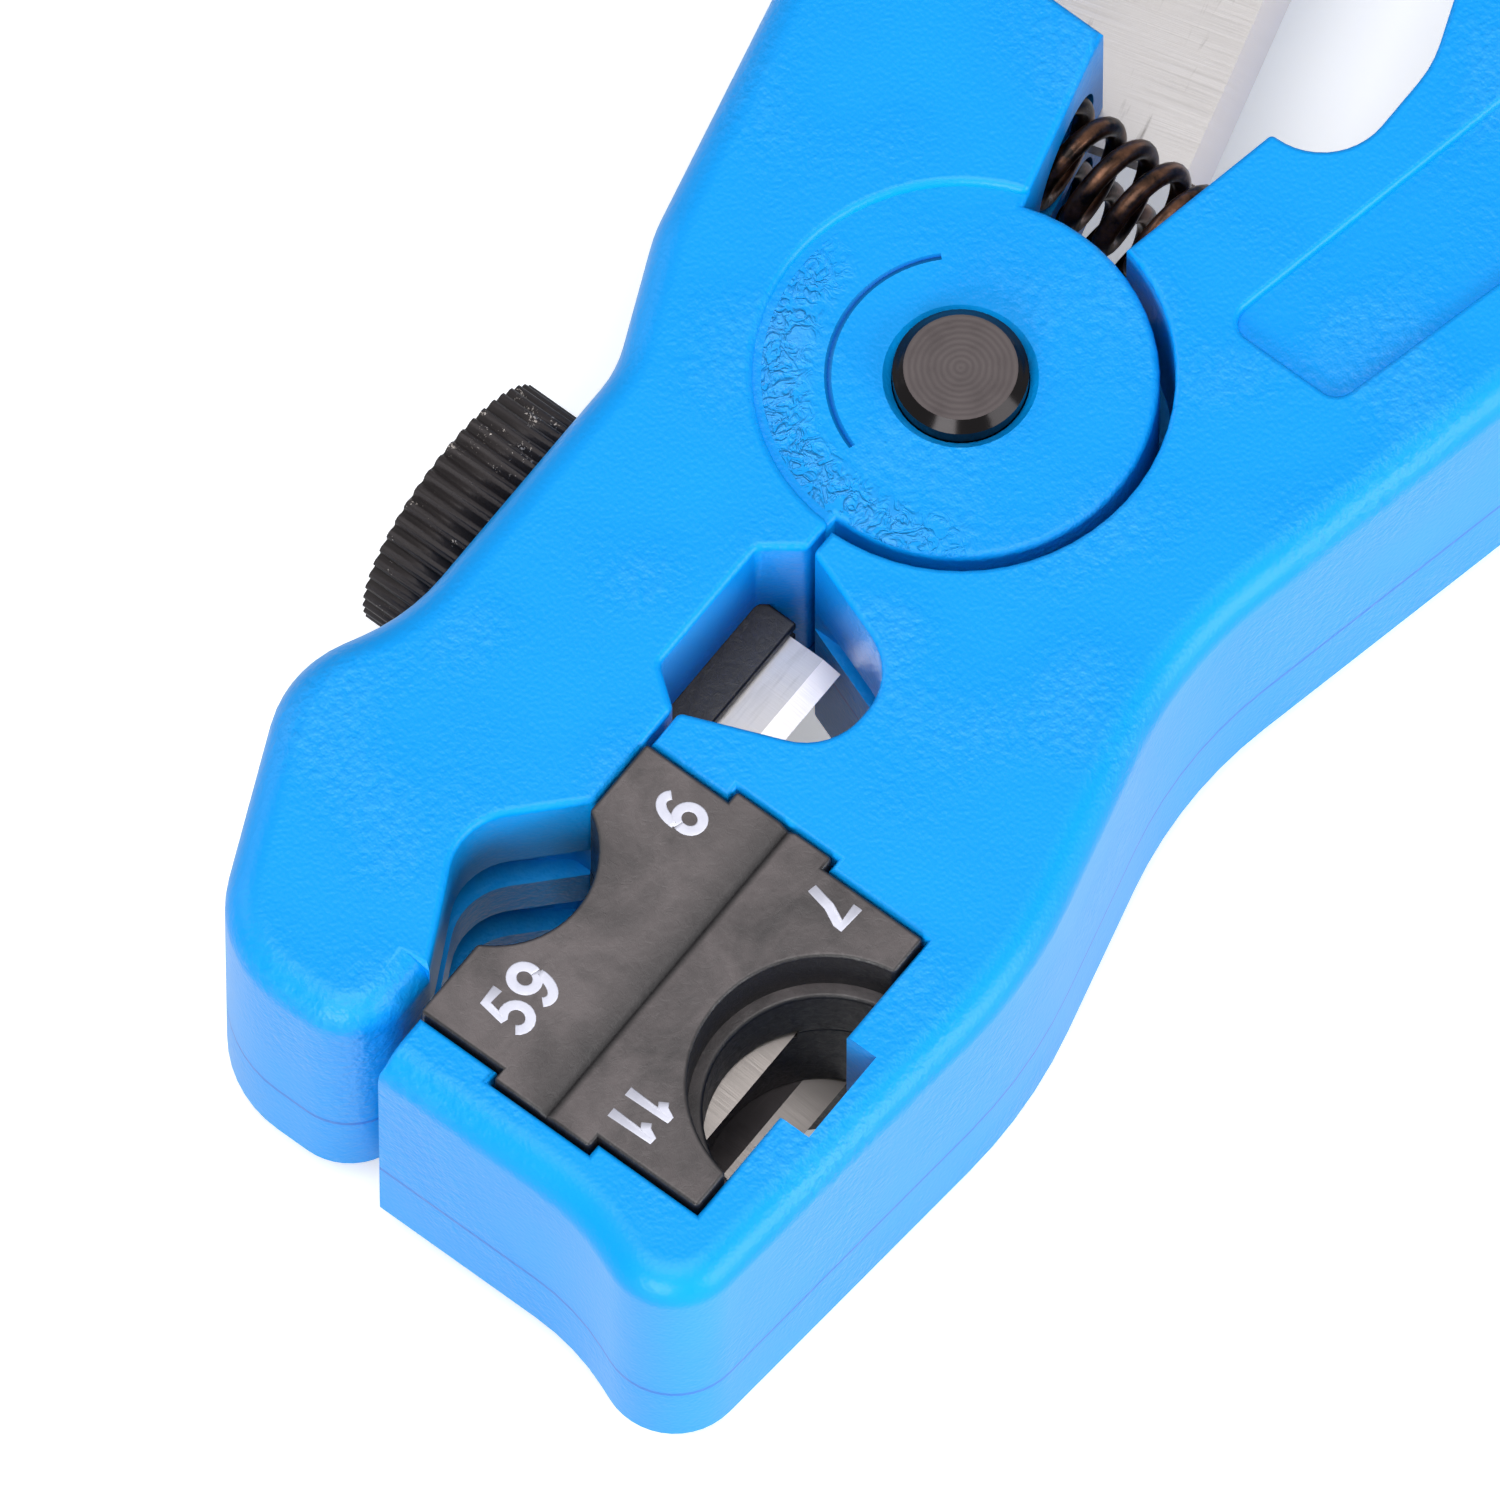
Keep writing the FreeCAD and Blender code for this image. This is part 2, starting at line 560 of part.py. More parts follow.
def makeKnobLever(doc, book):
    body = makeBody(doc, "knob_lever")
    top = book.body_thick
    half_gap = book.mating_gap / 2
    jaw_tip = notchTip(book) + book.knob_tip_run
    corner = endRound(book, book.knob_end_width, book.knob_end_inner)
    outline = makeSketch(body, "KnobOutline")
    drawOutline(outline, [
        (-jaw_tip, book.tip_setback, book.tip_round),
        (-notchTip(book), book.tip_setback),
        (-notchTip(book), -book.tip_round),
        (book.ledge_end, -book.tip_round),
        (book.ledge_end, book.ledge_end_inner),
        (palmPlace(book), book.knob_palm_inner, book.bow_round),
        (book.handle_length, book.knob_end_inner, corner),
        (book.handle_length, book.knob_end_width, corner),
        (book.bow_place, book.bow_width, book.bow_round),
        (-book.hump_place, book.hump_width, book.hump_round),
        (-book.flat_end, book.flat_width, book.hump_blend),
        (-book.flat_start, book.flat_width, book.flat_blend),
        (-book.crown_place, book.crown_width, book.crown_round),
        (-jaw_tip, book.shoulder_width, book.shoulder_round),
    ])
    pad(body, outline, top)
    limit = book.tip_setback.value - 0.01
    ledge = book.ledge_end.value + 0.01
    notch = notchTip(book).value + 0.01

    def isOuter(point):
        return point.y > limit and (point.y > book.flat_width.value - 3 or point.x > ledge
                                    or point.x < -notch)
    roundOuterSides(body, book, isOuter)

    # The mating side: cable notch, window, spring seat and the edge of the blade's ledge.
    inside = makeSketch(body, "KnobInside")
    drawOutline(inside, [
        (-notchTip(book), -book.tip_round - 1),
        (-notchTip(book), book.tip_setback),
        (-notchMiddle(book), book.notch_depth, book.notch_round),
        (-notchPivot(book), half_gap, 0.8),
        (-book.window_tip_end, half_gap, 0.6),
        (-book.window_tip_end + book.window_slope, book.window_depth, 0.5),
        (-book.window_pivot_end - book.window_slope, book.window_depth, 0.5),
        (-book.window_pivot_end, half_gap, 0.6),
        (0.0, half_gap, 4.0),
        (book.seat_start, book.seat_start_width, 4.0),
        (book.seat_end, book.seat_end_width),
        (book.ledge_end, book.ledge_end_inner),
        (book.ledge_end, -book.tip_round - 1),
    ])
    pocket(body, inside, top)

    # Pivot: the upper disc belongs to this lever, and the lower half makes room for the other's.
    lap = middleHeight(book) + book.lap_gap / 2
    relief = book.disc_round + book.disc_gap
    holeAt(body, "LapRelief", 0, 0, relief, 0.0, lap)
    holeAt(body, "DiscSink", 0, 0, book.disc_round + book.disc_sink, top - book.disc_sink,
           book.disc_sink)
    disc = makeSketch(body, "UpperDisc", height=lap)
    drawCircle(disc, 0, 0, book.disc_round)
    pad(body, disc, top - book.disc_sink - lap)
    holeAt(body, "PinHole", 0, 0, book.pin_round + book.running_gap, 0.0, top)
    disc_top = (top - book.disc_sink).value
    pin_room = (book.pin_round + book.running_gap).value + 0.01
    roundEdges(body, "HoleRim", book.hole_break,
               lambda edge: isLevel(edge, disc_top)
               and math.hypot(middleOf(edge).x, middleOf(edge).y) < pin_room, "Chamfer")

    # Two reliefs in the cable notch, level with the stripping blades of the cassette.
    for name, level in (("Jacket", jacketLevel(book)), ("Core", coreLevel(book))):
        slot = makeSketch(body, name + "Relief", height=level - book.slot_height / 2)
        drawOutline(slot, [
            (-notchTip(book), half_gap),
            (-notchTip(book), book.tip_setback + book.slot_depth / 2, 1.0),
            (-notchMiddle(book), book.notch_depth + book.slot_depth, book.notch_round),
            (-notchPivot(book), half_gap + book.slot_depth / 2, 1.0),
            (-notchPivot(book), half_gap),
        ])
        pocket(body, slot, book.slot_height)

    # Channel of the blade carrier, and what the knob's screw passes through.
    channel_end = book.flat_width - book.wall_left
    channel = makeSketch(body, "CarrierChannel", "XZ_Plane", -half_gap)
    side = book.carrier_length / 2 + book.channel_gap
    drawBox(channel, -book.knob_place - side, book.carrier_low - book.channel_gap,
            -book.knob_place + side, book.carrier_high + book.channel_gap)
    pocket(body, channel, channel_end - half_gap, up=False)
    room = makeSketch(body, "ClipRoom", "XZ_Plane", -channel_end)
    drawCircle(room, -book.knob_place, book.knob_height, book.clip_round + book.channel_gap)
    pocket(body, room, book.clip_thick + 2 * book.channel_gap.value)
    shaft = makeSketch(body, "ShaftHole", "XZ_Plane", -channel_end)
    drawCircle(shaft, -book.knob_place, book.knob_height, book.shaft_round + book.running_gap)
    pocket(body, shaft, book.wall_left + BIG_CUT, up=False)
    seat = makeSketch(body, "WasherSeat", "XZ_Plane", -(book.flat_width - book.washer_thick))
    drawCircle(seat, -book.knob_place, book.knob_height, book.washer_round + book.channel_gap)
    pocket(body, seat, book.washer_thick + BIG_CUT, up=False)

    # The cutting blade lies in a bay that is open above, on a ledge of the handle.
    slope = makeSketch(body, "BladeSlot", height=book.cutter_height)
    drawBladeArea(slope, book, book.cutter_gap)
    pocket(body, slope, book.cutter_thick + book.cutter_gap)
    bay = makeSketch(body, "BladeBay", height=book.cutter_height)
    back = book.cutter_width + book.cutter_gap * 3
    rise = math.tan(math.radians(book.cutter_angle.value))
    far = book.ledge_end - 4
    drawOutline(bay, [
        (book.bay_place, -book.tip_round),
        (book.bay_place, book.bay_lip, 1.5),
        (book.bay_place + 1.2, back - book.cutter_drop + 1.4, 2.5),
        (far, back - book.cutter_drop + (far - book.cutter_place) * rise + 1.0, 3.0),
        (far + 1.5, book.ledge_end_inner - 2),
        (far, -book.tip_round),
    ])
    pocket(body, bay, top)
    for name, place in screwPlaces(book):
        pilot = makeSketch(body, name + "Pilot", height=book.cutter_height)
        tiltSketch(pilot, book.cutter_place, -book.cutter_drop, book.cutter_angle)
        drawCircle(pilot, place, book.cutter_screw_inset, book.screw_round + book.running_gap)
        pocket(body, pilot, book.screw_length - book.cutter_thick + 0.3, up=False)

    seatSprings(body, book, upperSeat(book) + book.spring_sink, up=True)
    panel = makeSketch(body, "KnobPanel", height=top - book.panel_sink)
    drawOutline(panel, [
        (book.knob_panel_start, book.knob_panel_top, book.panel_round),
        (panelEnd(book), book.knob_panel_top + 0.6, book.panel_round),
        (panelEnd(book), book.knob_panel_base, book.panel_round),
        (book.knob_panel_start, book.knob_panel_base + 0.8, book.panel_round),
    ])
    pocket(body, panel, book.panel_sink + 1)
    return body


def screwPlaces(book):
    first = book.cutter_screw_first
    return [("Heel", first), ("Far", first + book.cutter_screw_spacing)]


def jacketLevel(book):
    return book.base_height + book.spacer_height - book.strip_thick / 2


def coreLevel(book):
    return book.base_height - book.strip_thick / 2


def cassetteSide(book, direction, extra=0.0):
    # X of the cassette's end face: direction -1 is the tip side and 1 the pivot side.
    return -book.cassette_place + (book.cassette_length / 2 + extra) * direction


def drawCassettePlan(sketch, book, gap, face):
    # Rectangle with a guide tab on each end, grown by a gap. face is its mating side's Y.
    gap = asSize(gap)
    tip = cassetteSide(book, -1, gap)
    pivot = cassetteSide(book, 1, gap)
    base = -book.cassette_width - gap
    tab_high = -book.tab_start + gap
    tab_low = -book.tab_start - book.tab_width - gap
    drawOutline(sketch, [
        (tip, face), (tip, tab_high), (tip - book.tab_depth, tab_high),
        (tip - book.tab_depth, tab_low), (tip, tab_low), (tip, base),
        (pivot, base), (pivot, tab_low), (pivot + book.tab_depth, tab_low),
        (pivot + book.tab_depth, tab_high), (pivot, tab_high), (pivot, face),
    ])


def makeCassetteLever(doc, book):
    body = makeBody(doc, "cassette_lever")
    top = book.body_thick
    half_gap = book.mating_gap / 2
    corner = endRound(book, book.box_end_width, book.box_end_inner)
    outline = makeSketch(body, "BoxOutline")
    drawOutline(outline, [
        (-boxTip(book), half_gap + 2),
        (-boxTip(book), -book.brow_width, book.brow_round),
        (-noseTip(book), -book.nose_width, book.nose_round),
        (-book.hip_place, -book.hip_width, book.hip_round),
        (-book.waist_place, -book.waist_width, book.waist_round),
        (book.box_bow_place, -book.box_bow_width, book.bow_round),
        (book.handle_length, -book.box_end_width, corner),
        (book.handle_length, -book.box_end_inner, corner),
        (palmPlace(book), -book.box_palm_inner, book.bow_round),
        (book.cutting_end, -book.cusp_width),
        (book.cutting_end, half_gap + 2),
    ])
    pad(body, outline, top)
    cusp = -book.cusp_width.value + 0.01

    def isOuter(point):
        return point.x < -boxTip(book).value + 0.01 or point.y < cusp
    roundOuterSides(body, book, isOuter)

    # The mating side: window, spring seat and the cutting notch of the handle.
    inside = makeSketch(body, "BoxInside")
    window_high = -book.window_pivot_end
    drawOutline(inside, [
        (-noseTip(book), half_gap + 3),
        (-noseTip(book), -half_gap),
        (-book.window_tip_end, -half_gap, 0.4),
        (-book.window_tip_end + book.cup_tip_lean, -book.cup_depth, book.cup_round),
        (window_high - book.cup_pivot_lean, -book.cup_depth, book.cup_round),
        (window_high, -half_gap, 0.4),
        (0.0, -half_gap, 4.0),
        (book.box_seat_start, -book.box_seat_start_width, 4.0),
        (book.cusp_place, -book.cusp_width, 0.3),
        (book.cusp_place, -book.cutting_depth, book.cutting_round),
        (book.cutting_flat_end, -book.cutting_depth, 6.0),
        (book.cutting_end, -book.cusp_width),
        (book.cutting_end, half_gap + 3),
    ])
    pocket(body, inside, top)

    # Pivot: the lower disc belongs to this lever, and the upper half makes room for the other's.
    lap = middleHeight(book) - book.lap_gap / 2
    holeAt(body, "LapRelief", 0, 0, book.disc_round + book.disc_gap, lap, top - lap)
    disc = makeSketch(body, "LowerDisc")
    drawCircle(disc, 0, 0, book.disc_round)
    pad(body, disc, lap)
    holeAt(body, "PinHole", 0, 0, book.pin_round + book.running_gap, 0.0, top)
    holeAt(body, "HeadSeat", 0, 0, book.pin_head_round + book.running_gap, 0.0,
           book.pin_head_height)

    # Cassette pocket right through, with its tab slots and the slot in its outer wall.
    well = makeSketch(body, "CassettePocket")
    drawCassettePlan(well, book, book.pocket_gap, half_gap)
    pocket(body, well, top)
    key = makeSketch(body, "KeySlot")
    wall = -book.cassette_width - book.pocket_gap
    drawBox(key, -book.cassette_place - book.key_width / 2, wall - book.key_depth,
            -book.cassette_place + book.key_width / 2, wall + 1)
    pocket(body, key, top)

    # Relief round the window, level with the blade for round cable.
    level = book.edge_height + book.edge_thick / 2 - book.relief_height / 2
    relief = makeSketch(body, "WindowRelief", height=level)
    drawOutline(relief, [
        (-book.window_tip_end, half_gap),
        (-book.window_tip_end - book.relief_depth + book.cup_tip_lean / 2, -book.cup_depth / 2),
        (-book.window_tip_end - book.relief_depth + book.cup_tip_lean, -book.cup_depth, 2.0),
        (window_high + book.relief_depth - book.cup_pivot_lean, -book.cup_depth, 2.0),
        (window_high + book.relief_depth - book.cup_pivot_lean / 2, -book.cup_depth / 2),
        (window_high, half_gap),
    ])
    pocket(body, relief, book.relief_height)

    # Slot that the cutting blade enters when the handles are squeezed.
    slot = makeSketch(body, "CutterSlot", height=book.cutter_height - book.cutter_gap)
    drawOutline(slot, [
        (book.cutter_place - 2.5, half_gap + 1),
        (book.cutter_place - 2.5, -book.cutting_depth - 0.5),
        (book.cutter_place + book.cutter_length + 1.5, -book.cutting_depth - 3.0),
        (book.cutter_place + book.cutter_length + 1.5, half_gap + 1),
    ])
    pocket(body, slot, book.cutter_thick + book.cutter_gap * 2)

    seatSprings(body, book, -lowerSeat(book) - book.spring_sink, up=False)
    panel = makeSketch(body, "BoxPanel", height=top - book.panel_sink)
    drawOutline(panel, [
        (book.panel_start, -book.panel_top, book.panel_round),
        (book.panel_start, -book.panel_base, book.panel_round),
        (book.panel_mid, -book.panel_mid_base, book.bow_round),
        (panelEnd(book), -book.panel_end_base, book.panel_round),
        (panelEnd(book), -book.panel_end_top, book.panel_round),
        (book.panel_mid, -book.panel_mid_top, book.bow_round),
    ])
    pocket(body, panel, book.panel_sink + 1)
    return body


def makePivotPin(doc, book):
    body = makeBody(doc, "pivot_pin")
    height = book.body_thick - book.disc_sink + book.pin_proud
    profile = makeSketch(body, "PinProfile", "XZ_Plane")
    drawOutline(profile, [
        (0.0, 0.0), (book.pin_head_round, 0.0), (book.pin_head_round, book.pin_head_height),
        (book.pin_round, book.pin_head_height), (book.pin_round, height - book.pin_chamfer),
        (book.pin_round - book.pin_chamfer, height), (0.0, height),
    ])
    revolve(body, profile)
    return body


def makeSpring(doc, book, label, side):
    # Six-sided wire wound about the body's own Z axis, which lies along the machine's Y.
    body = makeBody(doc, label)
    wire = makeSketch(body, "Wire", "XZ_Plane")
    radius = book.wire_thick / 2
    corners = []
    for step in range(6):
        turn = math.radians(60 * step)
        corners.append((book.coil_round + radius * math.cos(turn),
                        radius + radius * math.sin(turn)))
    drawOutline(wire, corners)
    bottom = lowerSeat(book) + book.spring_sink - book.spring_rest
    height = bottom + upperSeat(book) + book.spring_sink - book.spring_rest - book.wire_thick
    coil = body.newObject("PartDesign::AdditiveHelix", "Coil")
    coil.Profile = wire
    coil.ReferenceAxis = (wire, ["V_Axis"])
    coil.Mode = "pitch-height-angle"
    bind(coil, "Pitch", book.spring_pitch)
    bind(coil, "Height", height)
    doc.recompute()
    placeBody(body, book.spring_place, -bottom,
              middleHeight(book) + book.spring_spread * side, Vector(1, 0, 0), -90)
    return body


def drawBladeSection(sketch, book, width, thick, bevel, both=False):
    # Section of a ground blade in its own Y and Z, with the edge at Y 0 and, if both, at the back.
    corners = [(0.0, thick / 2), (bevel, 0.0)]
    if both:
        corners += [(width - bevel, 0.0), (width, thick / 2), (width - bevel, thick)]
    else:
        corners += [(width, 0.0), (width, thick)]
    drawOutline(sketch, corners + [(bevel, thick)])


def makeCutterBlade(doc, book):
    body = makeBody(doc, "cutter_blade")
    section = makeSketch(body, "CutterSection", "YZ_Plane")
    drawBladeSection(section, book, book.cutter_width, book.cutter_thick, book.cutter_bevel)
    pad(body, section, book.cutter_length)
    for name, place in screwPlaces(book):
        holeAt(body, name + "Hole", place, book.cutter_screw_inset,
               book.screw_round + book.running_gap, 0.0, book.cutter_thick)
    placeBody(body, book.cutter_place, -book.cutter_drop, book.cutter_height,
              Vector(0, 0, 1), book.cutter_angle)
    return body


def makeScrew(doc, label, radius, head_radius, head_height, length, slot):
    # A round-headed screw about its own Z, with the underside of the head at Z 0.
    body = makeBody(doc, label)
    profile = makeSketch(body, "ScrewProfile", "XZ_Plane")
    drawOutline(profile, [
        (0.0, -length), (radius, -length), (radius, 0.0), (head_radius, 0.0),
        (head_radius, head_height * 0.5), (head_radius * 0.75, head_height), (0.0, head_height),
    ])
    revolve(body, profile)
    for name, wide, deep in (("Along", head_radius * 0.6, slot / 2),
                             ("Across", slot / 2, head_radius * 0.6)):
        cut = makeSketch(body, "DriverSlot" + name, height=head_height * 0.4)
        drawBox(cut, -wide, -deep, wide, deep)
        pocket(body, cut, head_height)
    return body


def makeCutterScrew(doc, book, label, place):
    body = makeScrew(doc, label, book.screw_round, book.screw_head_round,
                     book.screw_head_height, book.screw_length, book.screw_socket)
    turn = math.radians(book.cutter_angle.value)
    along = place * math.cos(turn) - book.cutter_screw_inset * math.sin(turn)
    across = place * math.sin(turn) + book.cutter_screw_inset * math.cos(turn)
    placeBody(body, book.cutter_place + along, -book.cutter_drop + across,
              book.cutter_height + book.cutter_thick)
    return body


def cutRecesses(body, book, low, high, large):
    # The two cable recesses of a cassette layer, from height low to high.
    thin = makeSketch(body, "ThinRecess", height=low)
    drawCircle(thin, -book.cassette_place, book.small_recess - book.small_depth,
               book.small_recess)
    pocket(body, thin, high - low)
    thick = makeSketch(body, "ThickRecess", height=low)
    centre = -book.cassette_width + book.large_depth - book.large_recess
    drawCircle(thick, -book.cassette_place, centre, large)
    pocket(body, thick, high - low)


def drawRib(sketch, book, x, y, gap):
    # Plan of the rib that runs up through the layers and both blades, grown by a gap.
    half_length = book.rib_length / 2 + gap
    half_width = book.rib_width / 2 + gap
    drawBox(sketch, x - half_length, y - half_width, x + half_length, y + half_width)


def cutBladeBed(body, book, level, thin, thick):
    # Shallow bed in the top of a layer, as wide as the blade that lies in it.
    bed = makeSketch(body, "BladeBed", height=level - book.strip_thick)
    gap = book.running_gap
    side = book.strip_length / 2 + gap
    drawBox(bed, -book.cassette_place - side, -thick - gap,
            -book.cassette_place + side, -thin + gap)
    pocket(body, bed, book.strip_thick)


def makeCassetteLayer(doc, book, label, low, high):
    body = makeBody(doc, label)
    plan = makeSketch(body, "LayerPlan", height=low)
    drawCassettePlan(plan, book, 0.0, 0.0)
    pad(body, plan, high - low)
    return body


def makeCassette(doc, book):
    zero = asSize(0.0)
    first = book.base_height
    second = book.base_height + book.spacer_height
    high = book.body_thick + book.cassette_proud
    narrow = book.large_recess - book.lip_step
    base = makeCassetteLayer(doc, book, "cassette_base", zero, first)
    cutRecesses(base, book, zero, first, narrow)
    cutBladeBed(base, book, first, book.core_thin, book.core_thick)
    rib_high = high - book.lip_height
    rib = makeSketch(base, "Rib", height=first - book.strip_thick)
    drawRib(rib, book, -book.cassette_place, -book.rib_place, asSize(0.0))
    pad(base, rib, rib_high - first + book.strip_thick - 0.5)
    spacer = makeCassetteLayer(doc, book, "cassette_spacer", first, second)
    cutRecesses(spacer, book, first, second, narrow)
    cutBladeBed(spacer, book, second, book.jacket_thin, book.jacket_thick)
    cover = makeCassetteLayer(doc, book, "cassette_top", second, high)
    cutRecesses(cover, book, second, high - book.lip_height, narrow)
    rim = makeSketch(cover, "RimRecess", height=high - book.lip_height)
    centre = -book.cassette_width + book.large_depth - book.large_recess
    drawCircle(rim, -book.cassette_place, centre, book.large_recess)
    pocket(cover, rim, book.lip_height)
    thin = makeSketch(cover, "RimThinRecess", height=high - book.lip_height)
    drawCircle(thin, -book.cassette_place, book.small_recess - book.small_depth,
               book.small_recess)
    pocket(cover, thin, book.lip_height)
    crease = makeSketch(cover, "Crease", "YZ_Plane", -book.cassette_place - book.cassette_length)
    drawOutline(crease, [
        (-book.rib_place - book.crease_width / 2, high + 0.01),
        (-book.rib_place, high - book.crease_depth),
        (-book.rib_place + book.crease_width / 2, high + 0.01),
    ])
    pocket(cover, crease, book.cassette_length * 2)
    for layer, low, height in ((spacer, first, book.spacer_height),
                               (cover, second, rib_high - second)):
        slot = makeSketch(layer, "RibSlot", height=low)
        drawRib(slot, book, -book.cassette_place, -book.rib_place, book.running_gap)
        pocket(layer, slot, height)
    return [base, spacer, cover]


def makeStripBlade(doc, book, label, level, thin, thick):
    body = makeBody(doc, label)
    section = makeSketch(body, "StripSection", "YZ_Plane")
    width = thick - thin
    drawBladeSection(section, book, width, book.strip_thick, book.strip_bevel, both=True)
    pad(body, section, book.strip_length)
    slot = makeSketch(body, "RibSlot")
    drawRib(slot, book, book.strip_length / 2, thick - book.rib_place, book.running_gap)
    pocket(body, slot, book.strip_thick)
    placeBody(body, -book.cassette_place - book.strip_length / 2, -thick,
              level - book.strip_thick)
    return body


def makeThumbScrew(doc, book):
    # Turned about its own Z axis, which lies along the machine's Y from the mating plane out.
    body = makeBody(doc, "thumb_screw")
    face = book.flat_width + 0.05
    channel_end = book.flat_width - book.wall_left
    groove_low = channel_end - book.clip_thick - book.channel_gap
    groove = book.shaft_round - book.clip_groove
    neck = groove_low - 0.4
    rim = book.knob_round
    bevel = book.knob_chamfer
    profile = makeSketch(body, "ScrewProfile", "XZ_Plane")
    drawOutline(profile, [
        (0.0, book.thread_reach), (book.thread_round, book.thread_reach),
        (book.thread_round, neck),
        (book.shaft_round, neck), (book.shaft_round, groove_low), (groove, groove_low),
        (groove, channel_end), (book.shaft_round, channel_end), (book.shaft_round, face),
        (rim - bevel, face), (rim, face + bevel), (rim, face + book.knob_width - bevel),
        (rim - bevel, face + book.knob_width), (0.0, face + book.knob_width),
    ])
    revolve(body, profile)
    flute = makeSketch(body, "Flute", height=face + bevel)
    drawOutline(flute, [
        (rim - book.flute_depth, 0.0),
        (rim + 0.05, -book.flute_width / 2),
        (rim + 0.05, book.flute_width / 2),
    ])
    cut = pocket(body, flute, book.knob_width - bevel * 2)
    knurl = body.newObject("PartDesign::PolarPattern", "Knurl")
    knurl.Originals = [cut]
    knurl.Axis = (flute, ["N_Axis"])
    knurl.Angle = 360
    bind(knurl, "Occurrences", book.flute_count)
    body.Tip = knurl
    doc.recompute()
    placeBody(body, -book.knob_place, 0.0, book.knob_height, Vector(1, 0, 0), -90)
    return body


def makeRing(doc, book, label, outer, inner, thick, start):
    # A flat ring on the knob's axis, from Y start to start + thick.
    body = makeBody(doc, label)
    plan = makeSketch(body, "RingPlan")
    drawCircle(plan, 0.0, 0.0, outer)
    drawCircle(plan, 0.0, 0.0, inner)
    pad(body, plan, thick)
    placeBody(body, -book.knob_place, start, book.knob_height, Vector(1, 0, 0), -90)
    return body


def makeScrewClip(doc, book):
    # Open retaining clip: a ring with a gap at its foot, pushed into the screw's groove.
    inner = book.shaft_round - book.clip_groove + book.running_gap
    start = book.flat_width - book.wall_left - book.clip_thick - book.channel_gap / 2
    body = makeRing(doc, book, "screw_clip", book.clip_round, inner, book.clip_thick, start)
    mouth = makeSketch(body, "ClipMouth")
    drawBox(mouth, -inner * 0.8, 0.0, inner * 0.8, book.clip_round + 1)
    pocket(body, mouth, book.clip_thick)
    return body


def makeCarrier(doc, book):
    body = makeBody(doc, "blade_carrier")
    plan = makeSketch(body, "CarrierPlan", height=book.carrier_low)
    side = book.carrier_length / 2
    drawBox(plan, -book.knob_place - side, 0.0, -book.knob_place + side, book.carrier_width)
    pad(body, plan, book.carrier_high - book.carrier_low)
    slot = makeSketch(body, "EdgeSlot", height=book.edge_height - 0.02)
    drawBox(slot, -book.knob_place - side, 0.0, -book.knob_place + side,
            book.edge_tail + book.running_gap)
    pocket(body, slot, book.edge_thick + 0.04)
    bore = makeSketch(body, "InsertBore", "XZ_Plane", -book.carrier_width)
    drawCircle(bore, -book.knob_place, book.knob_height, book.insert_round + 0.01)
    pocket(body, bore, book.insert_length)
    hole = book.small_screw_round + book.running_gap
    holeAt(body, "SmallScrewHole", -book.knob_place, book.small_screw_place, hole,
           book.carrier_low, book.edge_height + book.edge_thick - book.carrier_low)
    holeAt(body, "SmallHeadSeat", -book.knob_place, book.small_screw_place,
           book.small_head_round + book.running_gap, book.carrier_low, book.small_head_height)
    return body


def makeInsert(doc, book):
    return makeRing(doc, book, "threaded_insert", book.insert_round,
                    book.thread_round + book.running_gap, book.insert_length,
                    book.carrier_width - book.insert_length)


def makeWindowBlade(doc, book):
    body = makeBody(doc, "window_blade")
    section = makeSketch(body, "EdgeSection", "YZ_Plane")
    drawBladeSection(section, book, book.edge_reach + book.edge_tail, book.edge_thick,
                     book.edge_bevel)
    pad(body, section, book.edge_length)
    holeAt(body, "SmallHole", book.edge_length / 2, book.edge_reach + book.small_screw_place,
           book.small_screw_round + book.running_gap, 0.0, book.edge_thick)
    placeBody(body, -book.knob_place - book.edge_length / 2, -book.edge_reach,
              book.edge_height)
    return body


def makeSmallScrew(doc, book):
    # Driven from below: its head is sunk flush in the carrier's underside.
    body = makeBody(doc, "window_blade_screw")
    low = book.carrier_low
    reach = book.edge_height + book.edge_thick - low
    profile = makeSketch(body, "SmallScrewProfile", "XZ_Plane")
    drawOutline(profile, [
        (0.0, 0.0), (book.small_head_round, 0.0),
        (book.small_head_round, book.small_head_height),
        (book.small_screw_round, book.small_head_height),
        (book.small_screw_round, reach), (0.0, reach),
    ])
    revolve(body, profile)
    placeBody(body, -book.knob_place, book.small_screw_place, low)
    return body


def checkAndWrite(doc, bodies):
    doc.recompute()
    for item in doc.Objects:
        if "Invalid" in item.State or "Error" in item.State:
            raise RuntimeError(item.Label + " failed")
    for body in bodies:
        if body.Shape.isNull() or not body.Shape.isValid() or len(body.Shape.Solids) != 1:
            raise RuntimeError(body.Label + " has no valid solid")
    os.makedirs("parts", exist_ok=True)
    for body in bodies:
        body.Shape.exportStep("parts/" + body.Label + ".step")
        print(body.Label, round(body.Shape.Volume, 1))


